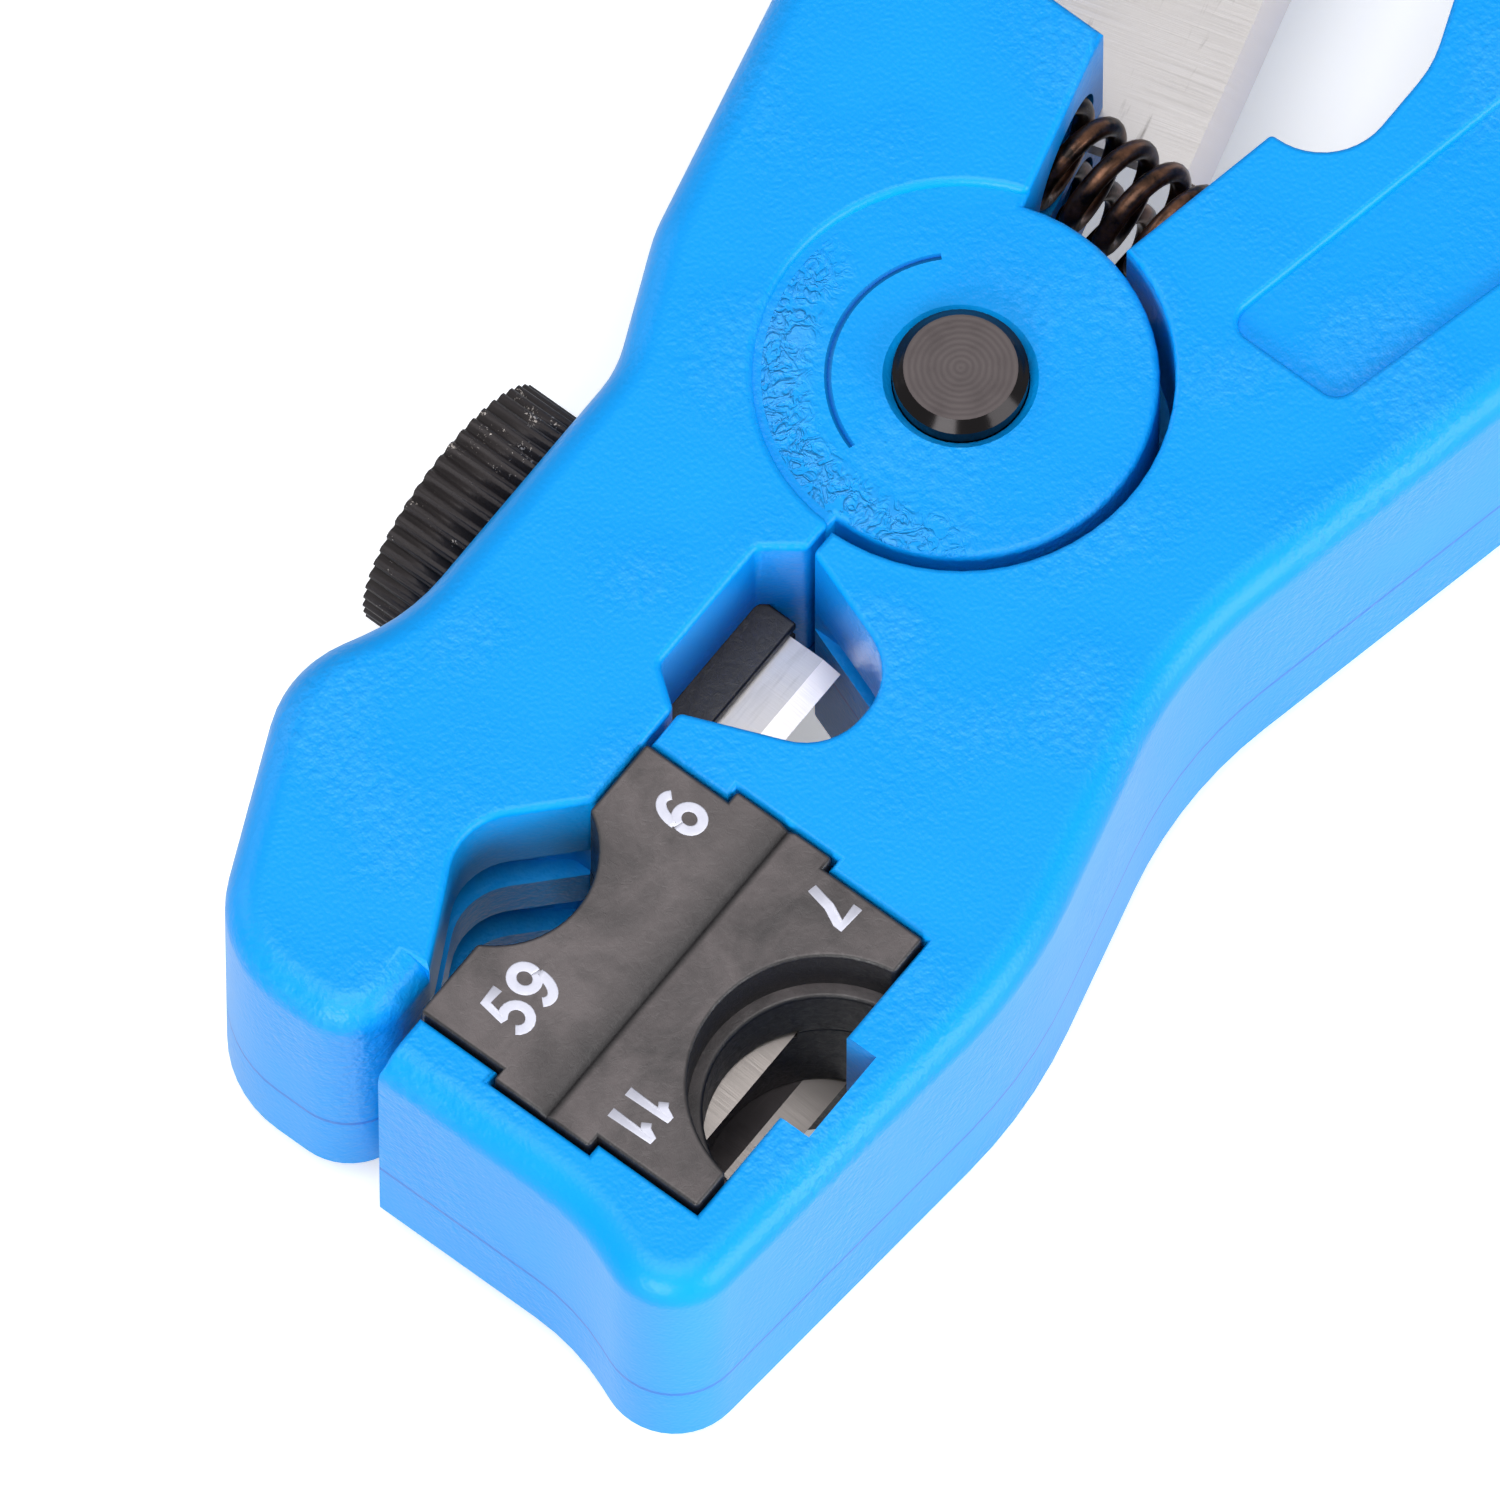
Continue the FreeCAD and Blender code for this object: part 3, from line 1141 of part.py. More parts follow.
def main():
    doc = FreeCAD.newDocument("CableStripper")
    book = SizeBook(makeSheet(doc))
    heel, far = [place for name, place in screwPlaces(book)]
    bodies = [
        makeKnobLever(doc, book),
        makeCassetteLever(doc, book),
        makePivotPin(doc, book),
        makeSpring(doc, book, "upper_spring", 0.5),
        makeSpring(doc, book, "lower_spring", -0.5),
        makeCutterBlade(doc, book),
        makeCutterScrew(doc, book, "heel_blade_screw", heel),
        makeCutterScrew(doc, book, "far_blade_screw", far),
    ]
    bodies += makeCassette(doc, book)
    bodies += [
        makeStripBlade(doc, book, "jacket_blade", book.base_height + book.spacer_height,
                       book.jacket_thin, book.jacket_thick),
        makeStripBlade(doc, book, "core_blade", book.base_height, book.core_thin,
                       book.core_thick),
        makeThumbScrew(doc, book),
        makeRing(doc, book, "friction_washer", book.washer_round,
                 book.shaft_round + book.running_gap, book.washer_thick,
                 book.flat_width - book.washer_thick),
        makeScrewClip(doc, book),
        makeCarrier(doc, book),
        makeInsert(doc, book),
        makeWindowBlade(doc, book),
        makeSmallScrew(doc, book),
    ]
    checkAndWrite(doc, bodies)


main()
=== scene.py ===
import math

import bmesh
import bpy
from mathutils import Matrix, Vector


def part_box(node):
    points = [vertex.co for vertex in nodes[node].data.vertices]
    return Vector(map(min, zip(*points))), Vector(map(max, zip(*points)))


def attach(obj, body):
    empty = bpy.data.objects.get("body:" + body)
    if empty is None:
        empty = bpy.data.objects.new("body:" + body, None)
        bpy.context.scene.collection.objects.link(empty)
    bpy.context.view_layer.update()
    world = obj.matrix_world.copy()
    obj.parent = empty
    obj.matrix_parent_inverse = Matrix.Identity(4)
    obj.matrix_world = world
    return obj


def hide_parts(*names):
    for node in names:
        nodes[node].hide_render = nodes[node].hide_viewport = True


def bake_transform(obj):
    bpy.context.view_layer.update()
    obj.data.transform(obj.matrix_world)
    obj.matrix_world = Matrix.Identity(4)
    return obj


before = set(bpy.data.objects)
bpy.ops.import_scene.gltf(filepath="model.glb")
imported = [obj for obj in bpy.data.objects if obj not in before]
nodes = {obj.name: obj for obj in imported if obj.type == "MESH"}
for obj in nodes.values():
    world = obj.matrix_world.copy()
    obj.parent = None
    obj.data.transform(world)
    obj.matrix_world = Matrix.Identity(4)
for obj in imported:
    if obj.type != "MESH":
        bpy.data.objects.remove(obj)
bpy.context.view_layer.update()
mm = 0.001
weldSize = 0.0005  # points nearer than this are one point, in millimetres
noiseLow, noiseHigh = 0.3, 0.7  # nearly all of a noise pattern lies between these two
print("frame loaded:", len(nodes), "nodes")


def linearColour(hexText):
    # A web colour as the linear numbers that the shaders take.
    parts = [int(hexText[i:i + 2], 16) / 255 for i in (1, 3, 5)]
    line = [p / 12.92 if p <= 0.04045 else ((p + 0.055) / 1.055) ** 2.4 for p in parts]
    return (*line, 1.0)


def addNode(tree, kind, settings=None, links=None):
    # settings: an input's name or number, or a property of the node. links: input -> (node, output).
    node = tree.nodes.new(kind)
    for key, value in (settings or {}).items():
        if isinstance(key, int) or key in node.inputs:
            node.inputs[key].default_value = value
        else:
            setattr(node, key, value)
    for key, (source, output) in (links or {}).items():
        tree.links.new(source.outputs[output], node.inputs[key])
    return node


def newMaterial(name, surface):
    # surface holds the uniform values of the main shader; what varies is linked afterwards.
    material = bpy.data.materials.new(name)
    material.use_nodes = True
    tree = material.node_tree
    tree.nodes.clear()
    shader = addNode(tree, "ShaderNodeBsdfPrincipled", surface)
    addNode(tree, "ShaderNodeOutputMaterial", links={"Surface": (shader, "BSDF")})
    place = addNode(tree, "ShaderNodeTexCoord")
    return material, tree, shader, place


def finish(piece, material):
    piece.data.materials.clear()
    piece.data.materials.append(material)


# In the materials, sizes, heights and places are in millimetres. Edges are the levels of a noise
# pattern between which its patches come in, and Slope is how nearly level a face is, 1 being level.

# ABS, injection moulded: saturated blue, half gloss, a fine leathery skin that lies in patches; its
# raised ridges are painted paler, partly a real haze and partly painted light on their tops.
def blueAbs():
    look = {
        "colour": "#00a2f8", "deep": "#0093ee", "paleAndRidgeLight": "#4db6f8", "haze": "#6fb2ee",
        "roughness": 0.38, "specular": 0.26,
        "peelSize": 0.46, "peelHeight": 0.085, "grainSize": 0.2, "grainHeight": 0.014,
        "patchSize": 8.0, "patchEdges": (0.42, 0.64), "betweenPatches": 0.12,
        "ridgeLightEdges": (0.3, 0.62), "ridgeLightAmount": 0.16,
        "wrinkleSize": 0.8, "wrinkleHeight": 0.16, "wrinkleEdges": (0.4, 0.62), "hazeAmount": 0.2,
        "discRadius": 9.1, "discTop": 17.6, "discTopSlack": 0.12,
        "bandInside": 6.6, "bandSoft": 1.2, "bandTowards": (-0.866, 0.5, 0.0), "bandEnds": (0.25, 0.7),
        "partingHeight": 6.5, "partingWidth": 0.13, "partingColour": "#0062d2", "partingAmount": 0.75,
        "arcRadius": 6.06, "arcWidth": 0.17, "arcFrom": 46, "arcTo": 163, "arcDepth": 0.3,
        "arcColour": "#0068dc",
    }
    material, tree, shader, place = newMaterial("blueAbs", {
        "Roughness": look["roughness"], "Specular IOR Level": look["specular"]})
    patch = addNode(tree, "ShaderNodeTexNoise",
                    {"Scale": 1 / (look["patchSize"] * mm), "Detail": 1.0},
                    {"Vector": (place, "Object")})
    strength = addNode(tree, "ShaderNodeMapRange",
                       {"From Min": look["patchEdges"][0], "From Max": look["patchEdges"][1],
                        "To Min": look["betweenPatches"], "To Max": 1.0}, {"Value": (patch, "Fac")})
    peel = addNode(tree, "ShaderNodeTexNoise",
                   {"Scale": 1 / (look["peelSize"] * mm), "Detail": 2.0, "Roughness": 0.6},
                   {"Vector": (place, "Object")})
    ridges = addNode(tree, "ShaderNodeMath", {"operation": "MULTIPLY"},
                     {0: (peel, "Fac"), 1: (strength, "Result")})
    grain = addNode(tree, "ShaderNodeTexNoise",
                    {"Scale": 1 / (look["grainSize"] * mm), "Detail": 0.0},
                    {"Vector": (place, "Object")})
    # Where a point lies about the pin: its distance, and how far towards the jaws.
    axes = addNode(tree, "ShaderNodeSeparateXYZ", links={0: (place, "Object")})
    flat = addNode(tree, "ShaderNodeCombineXYZ", links={"X": (axes, "X"), "Y": (axes, "Y")})
    radius = addNode(tree, "ShaderNodeVectorMath", {"operation": "LENGTH"}, {0: (flat, 0)})
    spoke = addNode(tree, "ShaderNodeVectorMath", {"operation": "NORMALIZE"}, {0: (flat, 0)})
    towards = addNode(tree, "ShaderNodeVectorMath",
                      {"operation": "DOT_PRODUCT", 1: look["bandTowards"]}, {0: (spoke, 0)})
    onDisc = addNode(tree, "ShaderNodeMath",
                     {"operation": "COMPARE", 1: look["discTop"] * mm,
                      2: look["discTopSlack"] * mm}, {0: (axes, "Z")})
    # The rim of the upper disc is wrinkled and hazy on the side of the jaws.
    inBand = addNode(tree, "ShaderNodeMapRange",
                     {"From Min": look["bandInside"] * mm,
                      "From Max": (look["bandInside"] + look["bandSoft"]) * mm},
                     {"Value": (radius, "Value")})
    facingJaws = addNode(tree, "ShaderNodeMapRange",
                         {"From Min": look["bandEnds"][0], "From Max": look["bandEnds"][1]},
                         {"Value": (towards, "Value")})
    band = addNode(tree, "ShaderNodeMath", {"operation": "MULTIPLY"},
                   {0: (inBand, 0), 1: (facingJaws, 0)})
    inDisc = addNode(tree, "ShaderNodeMath",
                     {"operation": "LESS_THAN", 1: look["discRadius"] * mm}, {0: (radius, "Value")})
    topBand = addNode(tree, "ShaderNodeMath", {"operation": "MULTIPLY"},
                      {0: (inDisc, 0), 1: (onDisc, 0)})
    rimBand = addNode(tree, "ShaderNodeMath", {"operation": "MULTIPLY"},
                      {0: (band, 0), 1: (topBand, 0)})
    wrinkle = addNode(tree, "ShaderNodeTexNoise",
                      {"Scale": 1 / (look["wrinkleSize"] * mm), "Detail": 2.0, "Distortion": 1.6},
                      {"Vector": (place, "Object")})
    crest = addNode(tree, "ShaderNodeMapRange",
                    {"From Min": look["wrinkleEdges"][0], "From Max": look["wrinkleEdges"][1]},
                    {"Value": (wrinkle, "Fac")})
    wrinkled = addNode(tree, "ShaderNodeMath", {"operation": "MULTIPLY"},
                       {0: (crest, 0), 1: (rimBand, 0)})
    # The sunk arc on the upper disc is a mould mark round the pin.
    away = addNode(tree, "ShaderNodeMath",
                   {"operation": "SUBTRACT", 1: look["arcRadius"] * mm}, {0: (radius, "Value")})
    off = addNode(tree, "ShaderNodeMath", {"operation": "ABSOLUTE"}, {0: (away, 0)})
    dip = addNode(tree, "ShaderNodeMapRange",
                  {"From Min": 0.0, "From Max": look["arcWidth"] * mm, "To Min": 1.0, "To Max": 0.0},
                  {"Value": (off, 0)})
    turn = addNode(tree, "ShaderNodeMath", {"operation": "ARCTAN2"},
                   {0: (axes, "Y"), 1: (axes, "X")})
    middle = math.radians((look["arcFrom"] + look["arcTo"]) / 2)
    reach = math.radians((look["arcTo"] - look["arcFrom"]) / 2)
    inArc = addNode(tree, "ShaderNodeMath", {"operation": "COMPARE", 1: middle, 2: reach},
                    {0: (turn, 0)})
    arc = addNode(tree, "ShaderNodeMath", {"operation": "MULTIPLY"}, {0: (dip, 0), 1: (inArc, 0)})
    mark = addNode(tree, "ShaderNodeMath", {"operation": "MULTIPLY"}, {0: (arc, 0), 1: (onDisc, 0)})
    # All heights in millimetres, added up for one bump.
    sunk = addNode(tree, "ShaderNodeMath", {"operation": "MULTIPLY", 1: -look["arcDepth"]},
                   {0: (mark, 0)})
    leather = addNode(tree, "ShaderNodeMath", {"operation": "MULTIPLY_ADD", 1: look["peelHeight"]},
                      {0: (ridges, 0), 2: (sunk, 0)})
    folded = addNode(tree, "ShaderNodeMath", {"operation": "MULTIPLY_ADD", 1: look["wrinkleHeight"]},
                     {0: (wrinkled, 0), 2: (leather, 0)})
    heights = addNode(tree, "ShaderNodeMath", {"operation": "MULTIPLY_ADD", 1: look["grainHeight"]},
                      {0: (grain, "Fac"), 2: (folded, 0)})
    skin = addNode(tree, "ShaderNodeBump", {"Distance": mm}, {"Height": (heights, 0)})
    # The mould's parting line runs round the sides.
    parting = addNode(tree, "ShaderNodeMath",
                      {"operation": "COMPARE", 1: look["partingHeight"] * mm,
                       2: look["partingWidth"] * mm}, {0: (axes, "Z")})
    partingTint = addNode(tree, "ShaderNodeMath",
                          {"operation": "MULTIPLY", 1: look["partingAmount"]}, {0: (parting, 0)})
    tint = addNode(tree, "ShaderNodeMix",
                   {"data_type": "RGBA", 6: linearColour(look["colour"]),
                    7: linearColour(look["deep"])}, {0: (patch, "Fac")})
    # The skin's raised ridges are painted paler: partly a real haze, partly painted light standing in
    # for the lit tops of the relief.
    ridgeLightAndHaze = addNode(tree, "ShaderNodeMapRange",
                     {"From Min": look["ridgeLightEdges"][0], "From Max": look["ridgeLightEdges"][1],
                      "To Min": 0.0, "To Max": look["ridgeLightAmount"]}, {"Value": (ridges, 0)})
    mottledAndRidgeLit = addNode(tree, "ShaderNodeMix",
                      {"data_type": "RGBA", 7: linearColour(look["paleAndRidgeLight"])},
                      {0: (ridgeLightAndHaze, 0), 6: (tint, 2)})
    hazeAmount = addNode(tree, "ShaderNodeMath",
                         {"operation": "MULTIPLY", 1: look["hazeAmount"]}, {0: (wrinkled, 0)})
    hazed = addNode(tree, "ShaderNodeMix",
                    {"data_type": "RGBA", 7: linearColour(look["haze"])},
                    {0: (hazeAmount, 0), 6: (mottledAndRidgeLit, 2)})
    parted = addNode(tree, "ShaderNodeMix",
                     {"data_type": "RGBA", 7: linearColour(look["partingColour"])},
                     {0: (partingTint, 0), 6: (hazed, 2)})
    marked = addNode(tree, "ShaderNodeMix",
                     {"data_type": "RGBA", 7: linearColour(look["arcColour"])},
                     {0: (mark, 0), 6: (parted, 2)})
    tree.links.new(marked.outputs[2], shader.inputs["Base Color"])
    tree.links.new(skin.outputs[0], shader.inputs["Normal"])
    return material


# Glass-filled nylon, moulded: almost black, with a grey haze, fine scuffs and rubbed patches.
def blackNylon(name="blackNylon", haze=1.0):
    look = {"colour": "#191719", "haze": "#5d5657", "roughness": (0.3, 0.56),
            "hazeSize": 5.0, "hazeEdges": (0.36, 0.62), "hazeLeast": 0.3, "rubbedSlope": 0.85,
            "scuffSize": 0.5, "scuffHeight": 0.03, "crease": -7.7, "creaseStart": 0.1,
            "creaseReach": 2.0, "creasePaintedShade": 0.2, "creaseLip": 0.35}
    material, tree, shader, place = newMaterial(name, {"Specular IOR Level": 0.5})
    cloud = addNode(tree, "ShaderNodeTexNoise",
                    {"Scale": 1 / (look["hazeSize"] * mm), "Detail": 5.0, "Roughness": 0.62,
                     "Distortion": 0.4}, {"Vector": (place, "Object")})
    # The haze lies where the part is rubbed, on the faces that look up.
    facing = addNode(tree, "ShaderNodeNewGeometry")
    lift = addNode(tree, "ShaderNodeSeparateXYZ", links={0: (facing, "Normal")})
    rubbed = addNode(tree, "ShaderNodeMapRange",
                     {"From Min": look["rubbedSlope"], "From Max": 1.0, "To Min": 0.0,
                      "To Max": haze}, {"Value": (lift, "Z")})
    spread = addNode(tree, "ShaderNodeMapRange",
                     {"From Min": look["hazeEdges"][0], "From Max": look["hazeEdges"][1],
                      "To Min": look["hazeLeast"], "To Max": 1.0}, {"Value": (cloud, "Fac")})
    clouded = addNode(tree, "ShaderNodeMath", {"operation": "MULTIPLY"},
                      {0: (rubbed, 0), 1: (spread, 0)})
    # On the side of the cable notch, the haze is held back along the crease, giving a darker band that
    # is painted shade on the crease's slope.
    axes = addNode(tree, "ShaderNodeSeparateXYZ", links={0: (place, "Object")})
    beside = addNode(tree, "ShaderNodeMath", {"operation": "SUBTRACT", 1: look["crease"] * mm},
                     {0: (axes, "Y")})
    shaded = addNode(tree, "ShaderNodeMapRange",
                     {"From Min": look["creaseStart"] * mm, "From Max": look["creaseReach"] * mm,
                      "To Min": look["creasePaintedShade"], "To Max": 1.0}, {"Value": (beside, 0)})
    bare = addNode(tree, "ShaderNodeMapRange",
                   {"From Min": -look["creaseLip"] * mm, "From Max": 0.0, "To Min": 1.0,
                    "To Max": 0.0}, {"Value": (beside, 0)})
    clear = addNode(tree, "ShaderNodeMath", {"operation": "MAXIMUM"},
                    {0: (shaded, 0), 1: (bare, 0)})
    amount = addNode(tree, "ShaderNodeMath", {"operation": "MULTIPLY"},
                     {0: (clouded, 0), 1: (clear, 0)})
    colour = addNode(tree, "ShaderNodeMix",
                     {"data_type": "RGBA", 6: linearColour(look["colour"]),
                      7: linearColour(look["haze"])}, {0: (amount, 0)})
    scuff = addNode(tree, "ShaderNodeTexNoise",
                    {"Scale": 1 / (look["scuffSize"] * mm), "Detail": 6.0, "Roughness": 0.7,
                     "Distortion": 1.2}, {"Vector": (place, "Object")})
    rough = addNode(tree, "ShaderNodeMapRange",
                    {"From Min": noiseLow, "From Max": noiseHigh, "To Min": look["roughness"][0],
                     "To Max": look["roughness"][1]}, {"Value": (scuff, "Fac")})
    bump = addNode(tree, "ShaderNodeBump", {"Distance": look["scuffHeight"] * mm},
                   {"Height": (scuff, "Fac")})
    tree.links.new(colour.outputs[2], shader.inputs["Base Color"])
    tree.links.new(rough.outputs[0], shader.inputs["Roughness"])
    tree.links.new(bump.outputs[0], shader.inputs["Normal"])
    return material


# Tool steel, ground: fine lines that run across the edge, a few grey smears, and a bevel painted
# brighter than the flat as a painted highlight.
# angle: how far the blade is turned from the X axis. smears: how strong the grey smears are.
def groundSteel(name, angle, smears, flat="#c6c2c1", bevel="#f2eae6"):
    look = {"colour": flat, "bevel": bevel, "smear": "#86817f", "roughness": (0.3, 0.46),
            "lineSize": 0.07, "lineLength": 6.0, "lineHeight": 0.004, "depth": 5.0,
            "smearSize": 1.1, "smearLength": 9.0, "smearEdges": (0.56, 0.68),
            "flatSlope": (0.975, 0.995)}
    material, tree, shader, place = newMaterial(name, {"Metallic": 1.0})
    along = addNode(tree, "ShaderNodeMapping",
                    {"vector_type": "TEXTURE", "Rotation": (0, 0, angle),
                     "Scale": (look["lineSize"] * mm, look["lineLength"] * mm,
                               look["depth"] * mm)},
                    {"Vector": (place, "Object")})
    lines = addNode(tree, "ShaderNodeTexNoise", {"Scale": 1.0, "Detail": 3.0},
                    {"Vector": (along, 0)})
    wide = addNode(tree, "ShaderNodeMapping",
                   {"vector_type": "TEXTURE", "Rotation": (0, 0, angle),
                    "Scale": (look["smearLength"] * mm, look["smearSize"] * mm,
                              look["depth"] * mm)},
                   {"Vector": (place, "Object")})
    cloud = addNode(tree, "ShaderNodeTexNoise",
                    {"Scale": 1.0, "Detail": 4.0, "Roughness": 0.65, "Distortion": 0.3},
                    {"Vector": (wide, 0)})
    dark = addNode(tree, "ShaderNodeMapRange",
                   {"From Min": look["smearEdges"][0], "From Max": look["smearEdges"][1],
                    "To Min": 0.0, "To Max": smears}, {"Value": (cloud, "Fac")})
    colour = addNode(tree, "ShaderNodeMix",
                     {"data_type": "RGBA", 6: linearColour(look["colour"]),
                      7: linearColour(look["smear"])}, {0: (dark, 0)})
    # The tilted bevel faces are painted brighter than the flat: a painted highlight.
    facing = addNode(tree, "ShaderNodeNewGeometry")
    lift = addNode(tree, "ShaderNodeSeparateXYZ", links={0: (facing, "Normal")})
    upright = addNode(tree, "ShaderNodeMath", {"operation": "ABSOLUTE"}, {0: (lift, "Z")})
    level = addNode(tree, "ShaderNodeMapRange",
                    {"From Min": look["flatSlope"][0], "From Max": look["flatSlope"][1]},
                    {"Value": (upright, 0)})
    shade = addNode(tree, "ShaderNodeMix",
                    {"data_type": "RGBA", 6: linearColour(look["bevel"])},
                    {0: (level, 0), 7: (colour, 2)})
    rough = addNode(tree, "ShaderNodeMapRange",
                    {"From Min": noiseLow, "From Max": noiseHigh, "To Min": look["roughness"][0],
                     "To Max": look["roughness"][1]}, {"Value": (lines, "Fac")})
    bump = addNode(tree, "ShaderNodeBump", {"Distance": look["lineHeight"] * mm},
                   {"Height": (lines, "Fac")})
    tree.links.new(shade.outputs[2], shader.inputs["Base Color"])
    tree.links.new(rough.outputs[0], shader.inputs["Roughness"])
    tree.links.new(bump.outputs[0], shader.inputs["Normal"])
    return material


# Steel, turned and blackened: faint rings of the tool's feed on rubbed grey faces, glossy black rims.
def turnedBlackSteel():
    look = {"colour": "#524b4c", "worn": "#605959", "rim": "#151213", "roughness": (0.34, 0.52),
            "rimRoughness": 0.16, "ringSize": 0.3, "ringHeight": 0.0025, "ringWave": 0.32,
            "cloudSize": 1.111, "rubbedSlope": (0.85, 0.97)}
    material, tree, shader, place = newMaterial("turnedBlackSteel", {"Metallic": 0.75})
    rings = addNode(tree, "ShaderNodeTexWave",
                    {"wave_type": "RINGS", "rings_direction": "Z",
                     "Scale": look["ringWave"] / (look["ringSize"] * mm),
                     "Distortion": 1.6, "Detail": 2.0, "Detail Scale": 1.4},
                    {"Vector": (place, "Object")})
    cloud = addNode(tree, "ShaderNodeTexNoise",
                    {"Scale": 1 / (look["cloudSize"] * mm), "Detail": 4.0},
                    {"Vector": (place, "Object")})
    both = addNode(tree, "ShaderNodeMath", {"operation": "MULTIPLY"},
                   {0: (rings, "Fac"), 1: (cloud, "Fac")})
    colour = addNode(tree, "ShaderNodeMix",
                     {"data_type": "RGBA", 6: linearColour(look["colour"]),
                      7: linearColour(look["worn"])}, {0: (both, 0)})
    rough = addNode(tree, "ShaderNodeMapRange",
                    {"From Min": noiseLow, "From Max": noiseHigh, "To Min": look["roughness"][0],
                     "To Max": look["roughness"][1]}, {"Value": (cloud, "Fac")})
    bump = addNode(tree, "ShaderNodeBump", {"Distance": look["ringHeight"] * mm},
                   {"Height": (rings, "Fac")})
    # Chamfers and sides keep their deep black gloss; the faces are rubbed grey.
    facing = addNode(tree, "ShaderNodeNewGeometry")
    lift = addNode(tree, "ShaderNodeSeparateXYZ", links={0: (facing, "Normal")})
    rubbed = addNode(tree, "ShaderNodeMapRange",
                     {"From Min": look["rubbedSlope"][0], "From Max": look["rubbedSlope"][1]},
                     {"Value": (lift, "Z")})
    shade = addNode(tree, "ShaderNodeMix",
                    {"data_type": "RGBA", 6: linearColour(look["rim"])},
                    {0: (rubbed, 0), 7: (colour, 2)})
    gloss = addNode(tree, "ShaderNodeMix", {"data_type": "FLOAT", 2: look["rimRoughness"]},
                    {0: (rubbed, 0), 3: (rough, 0)})
    tree.links.new(shade.outputs[2], shader.inputs["Base Color"])
    tree.links.new(gloss.outputs[0], shader.inputs["Roughness"])
    tree.links.new(bump.outputs[0], shader.inputs["Normal"])
    return material


# Spring wire, oil-blackened: dark, glossy, with a coppery sheen where the oxide is thin.
def oiledWire():
    look = {"colour": "#1d1714", "copper": "#6b4a38", "roughness": (0.2, 0.42), "patchSize": 1.6,
            "patchEdges": (0.42, 0.62), "drawnSize": 0.1667, "drawnHeight": 0.006}
    material, tree, shader, place = newMaterial("oiledWire", {"Metallic": 0.85})
    patch = addNode(tree, "ShaderNodeTexNoise",
                    {"Scale": 1 / (look["patchSize"] * mm), "Detail": 4.0, "Roughness": 0.6},
                    {"Vector": (place, "Object")})
    copper = addNode(tree, "ShaderNodeMapRange",
                     {"From Min": look["patchEdges"][0], "From Max": look["patchEdges"][1]},
                     {"Value": (patch, "Fac")})
    colour = addNode(tree, "ShaderNodeMix",
                     {"data_type": "RGBA", 6: linearColour(look["colour"]),
                      7: linearColour(look["copper"])}, {0: (copper, 0)})
    rough = addNode(tree, "ShaderNodeMapRange",
                    {"To Min": look["roughness"][0], "To Max": look["roughness"][1]},
                    {"Value": (patch, "Fac")})
    drawn = addNode(tree, "ShaderNodeTexNoise",
                    {"Scale": 1 / (look["drawnSize"] * mm), "Detail": 2.0},
                    {"Vector": (place, "Object")})
    bump = addNode(tree, "ShaderNodeBump", {"Distance": look["drawnHeight"] * mm},
                   {"Height": (drawn, "Fac")})
    tree.links.new(colour.outputs[2], shader.inputs["Base Color"])
    tree.links.new(rough.outputs[0], shader.inputs["Roughness"])
    tree.links.new(bump.outputs[0], shader.inputs["Normal"])
    return material


# Steel knob, ridged and blackened: matt, with a few sparks of bare metal on the ridges.
def knurledBlack():
    look = {"colour": "#2b2627", "spark": "#cfc6c0", "roughness": 0.62, "sparkRoughness": 0.34,
            "sparkSize": 0.13, "sparkEdges": (0.4, 0.47), "patchSize": 1.4286, "grainHeight": 0.03}
    material, tree, shader, place = newMaterial("knurledBlack", {"Metallic": 0.35})
    cells = addNode(tree, "ShaderNodeTexNoise",
                    {"Scale": 1 / (look["sparkSize"] * mm), "Detail": 2.0, "Roughness": 0.7},
                    {"Vector": (place, "Object")})
    patches = addNode(tree, "ShaderNodeTexNoise",
                      {"Scale": 1 / (look["patchSize"] * mm), "Detail": 2.0},
                      {"Vector": (place, "Object")})
    mixed = addNode(tree, "ShaderNodeMath", {"operation": "MULTIPLY"},
                    {0: (cells, "Fac"), 1: (patches, "Fac")})
    spark = addNode(tree, "ShaderNodeMapRange",
                    {"From Min": look["sparkEdges"][0], "From Max": look["sparkEdges"][1]},
                    {"Value": (mixed, 0)})
    colour = addNode(tree, "ShaderNodeMix",
                     {"data_type": "RGBA", 6: linearColour(look["colour"]),
                      7: linearColour(look["spark"])}, {0: (spark, 0)})
    rough = addNode(tree, "ShaderNodeMapRange",
                    {"To Min": look["roughness"], "To Max": look["sparkRoughness"]},
                    {"Value": (spark, 0)})
    bump = addNode(tree, "ShaderNodeBump", {"Distance": look["grainHeight"] * mm},
                   {"Height": (cells, "Fac")})
    tree.links.new(colour.outputs[2], shader.inputs["Base Color"])
    tree.links.new(rough.outputs[0], shader.inputs["Roughness"])
    tree.links.new(bump.outputs[0], shader.inputs["Normal"])
    return material


# Ink, pad-printed: greyish white, matt, a little thin where the moulding is rough.
def whiteInk():
    look = {"colour": "#dfe0ee", "worn": "#c9cadb", "wornSize": 0.3846, "roughness": 0.6}
    material, tree, shader, place = newMaterial("whiteInk", {"Roughness": look["roughness"]})
    worn = addNode(tree, "ShaderNodeTexNoise",
                   {"Scale": 1 / (look["wornSize"] * mm), "Detail": 3.0},
                   {"Vector": (place, "Object")})
    tint = addNode(tree, "ShaderNodeMix",
                   {"data_type": "RGBA", 6: linearColour(look["colour"]),
                    7: linearColour(look["worn"])}, {0: (worn, "Fac")})
    tree.links.new(tint.outputs[2], shader.inputs["Base Color"])
    return material


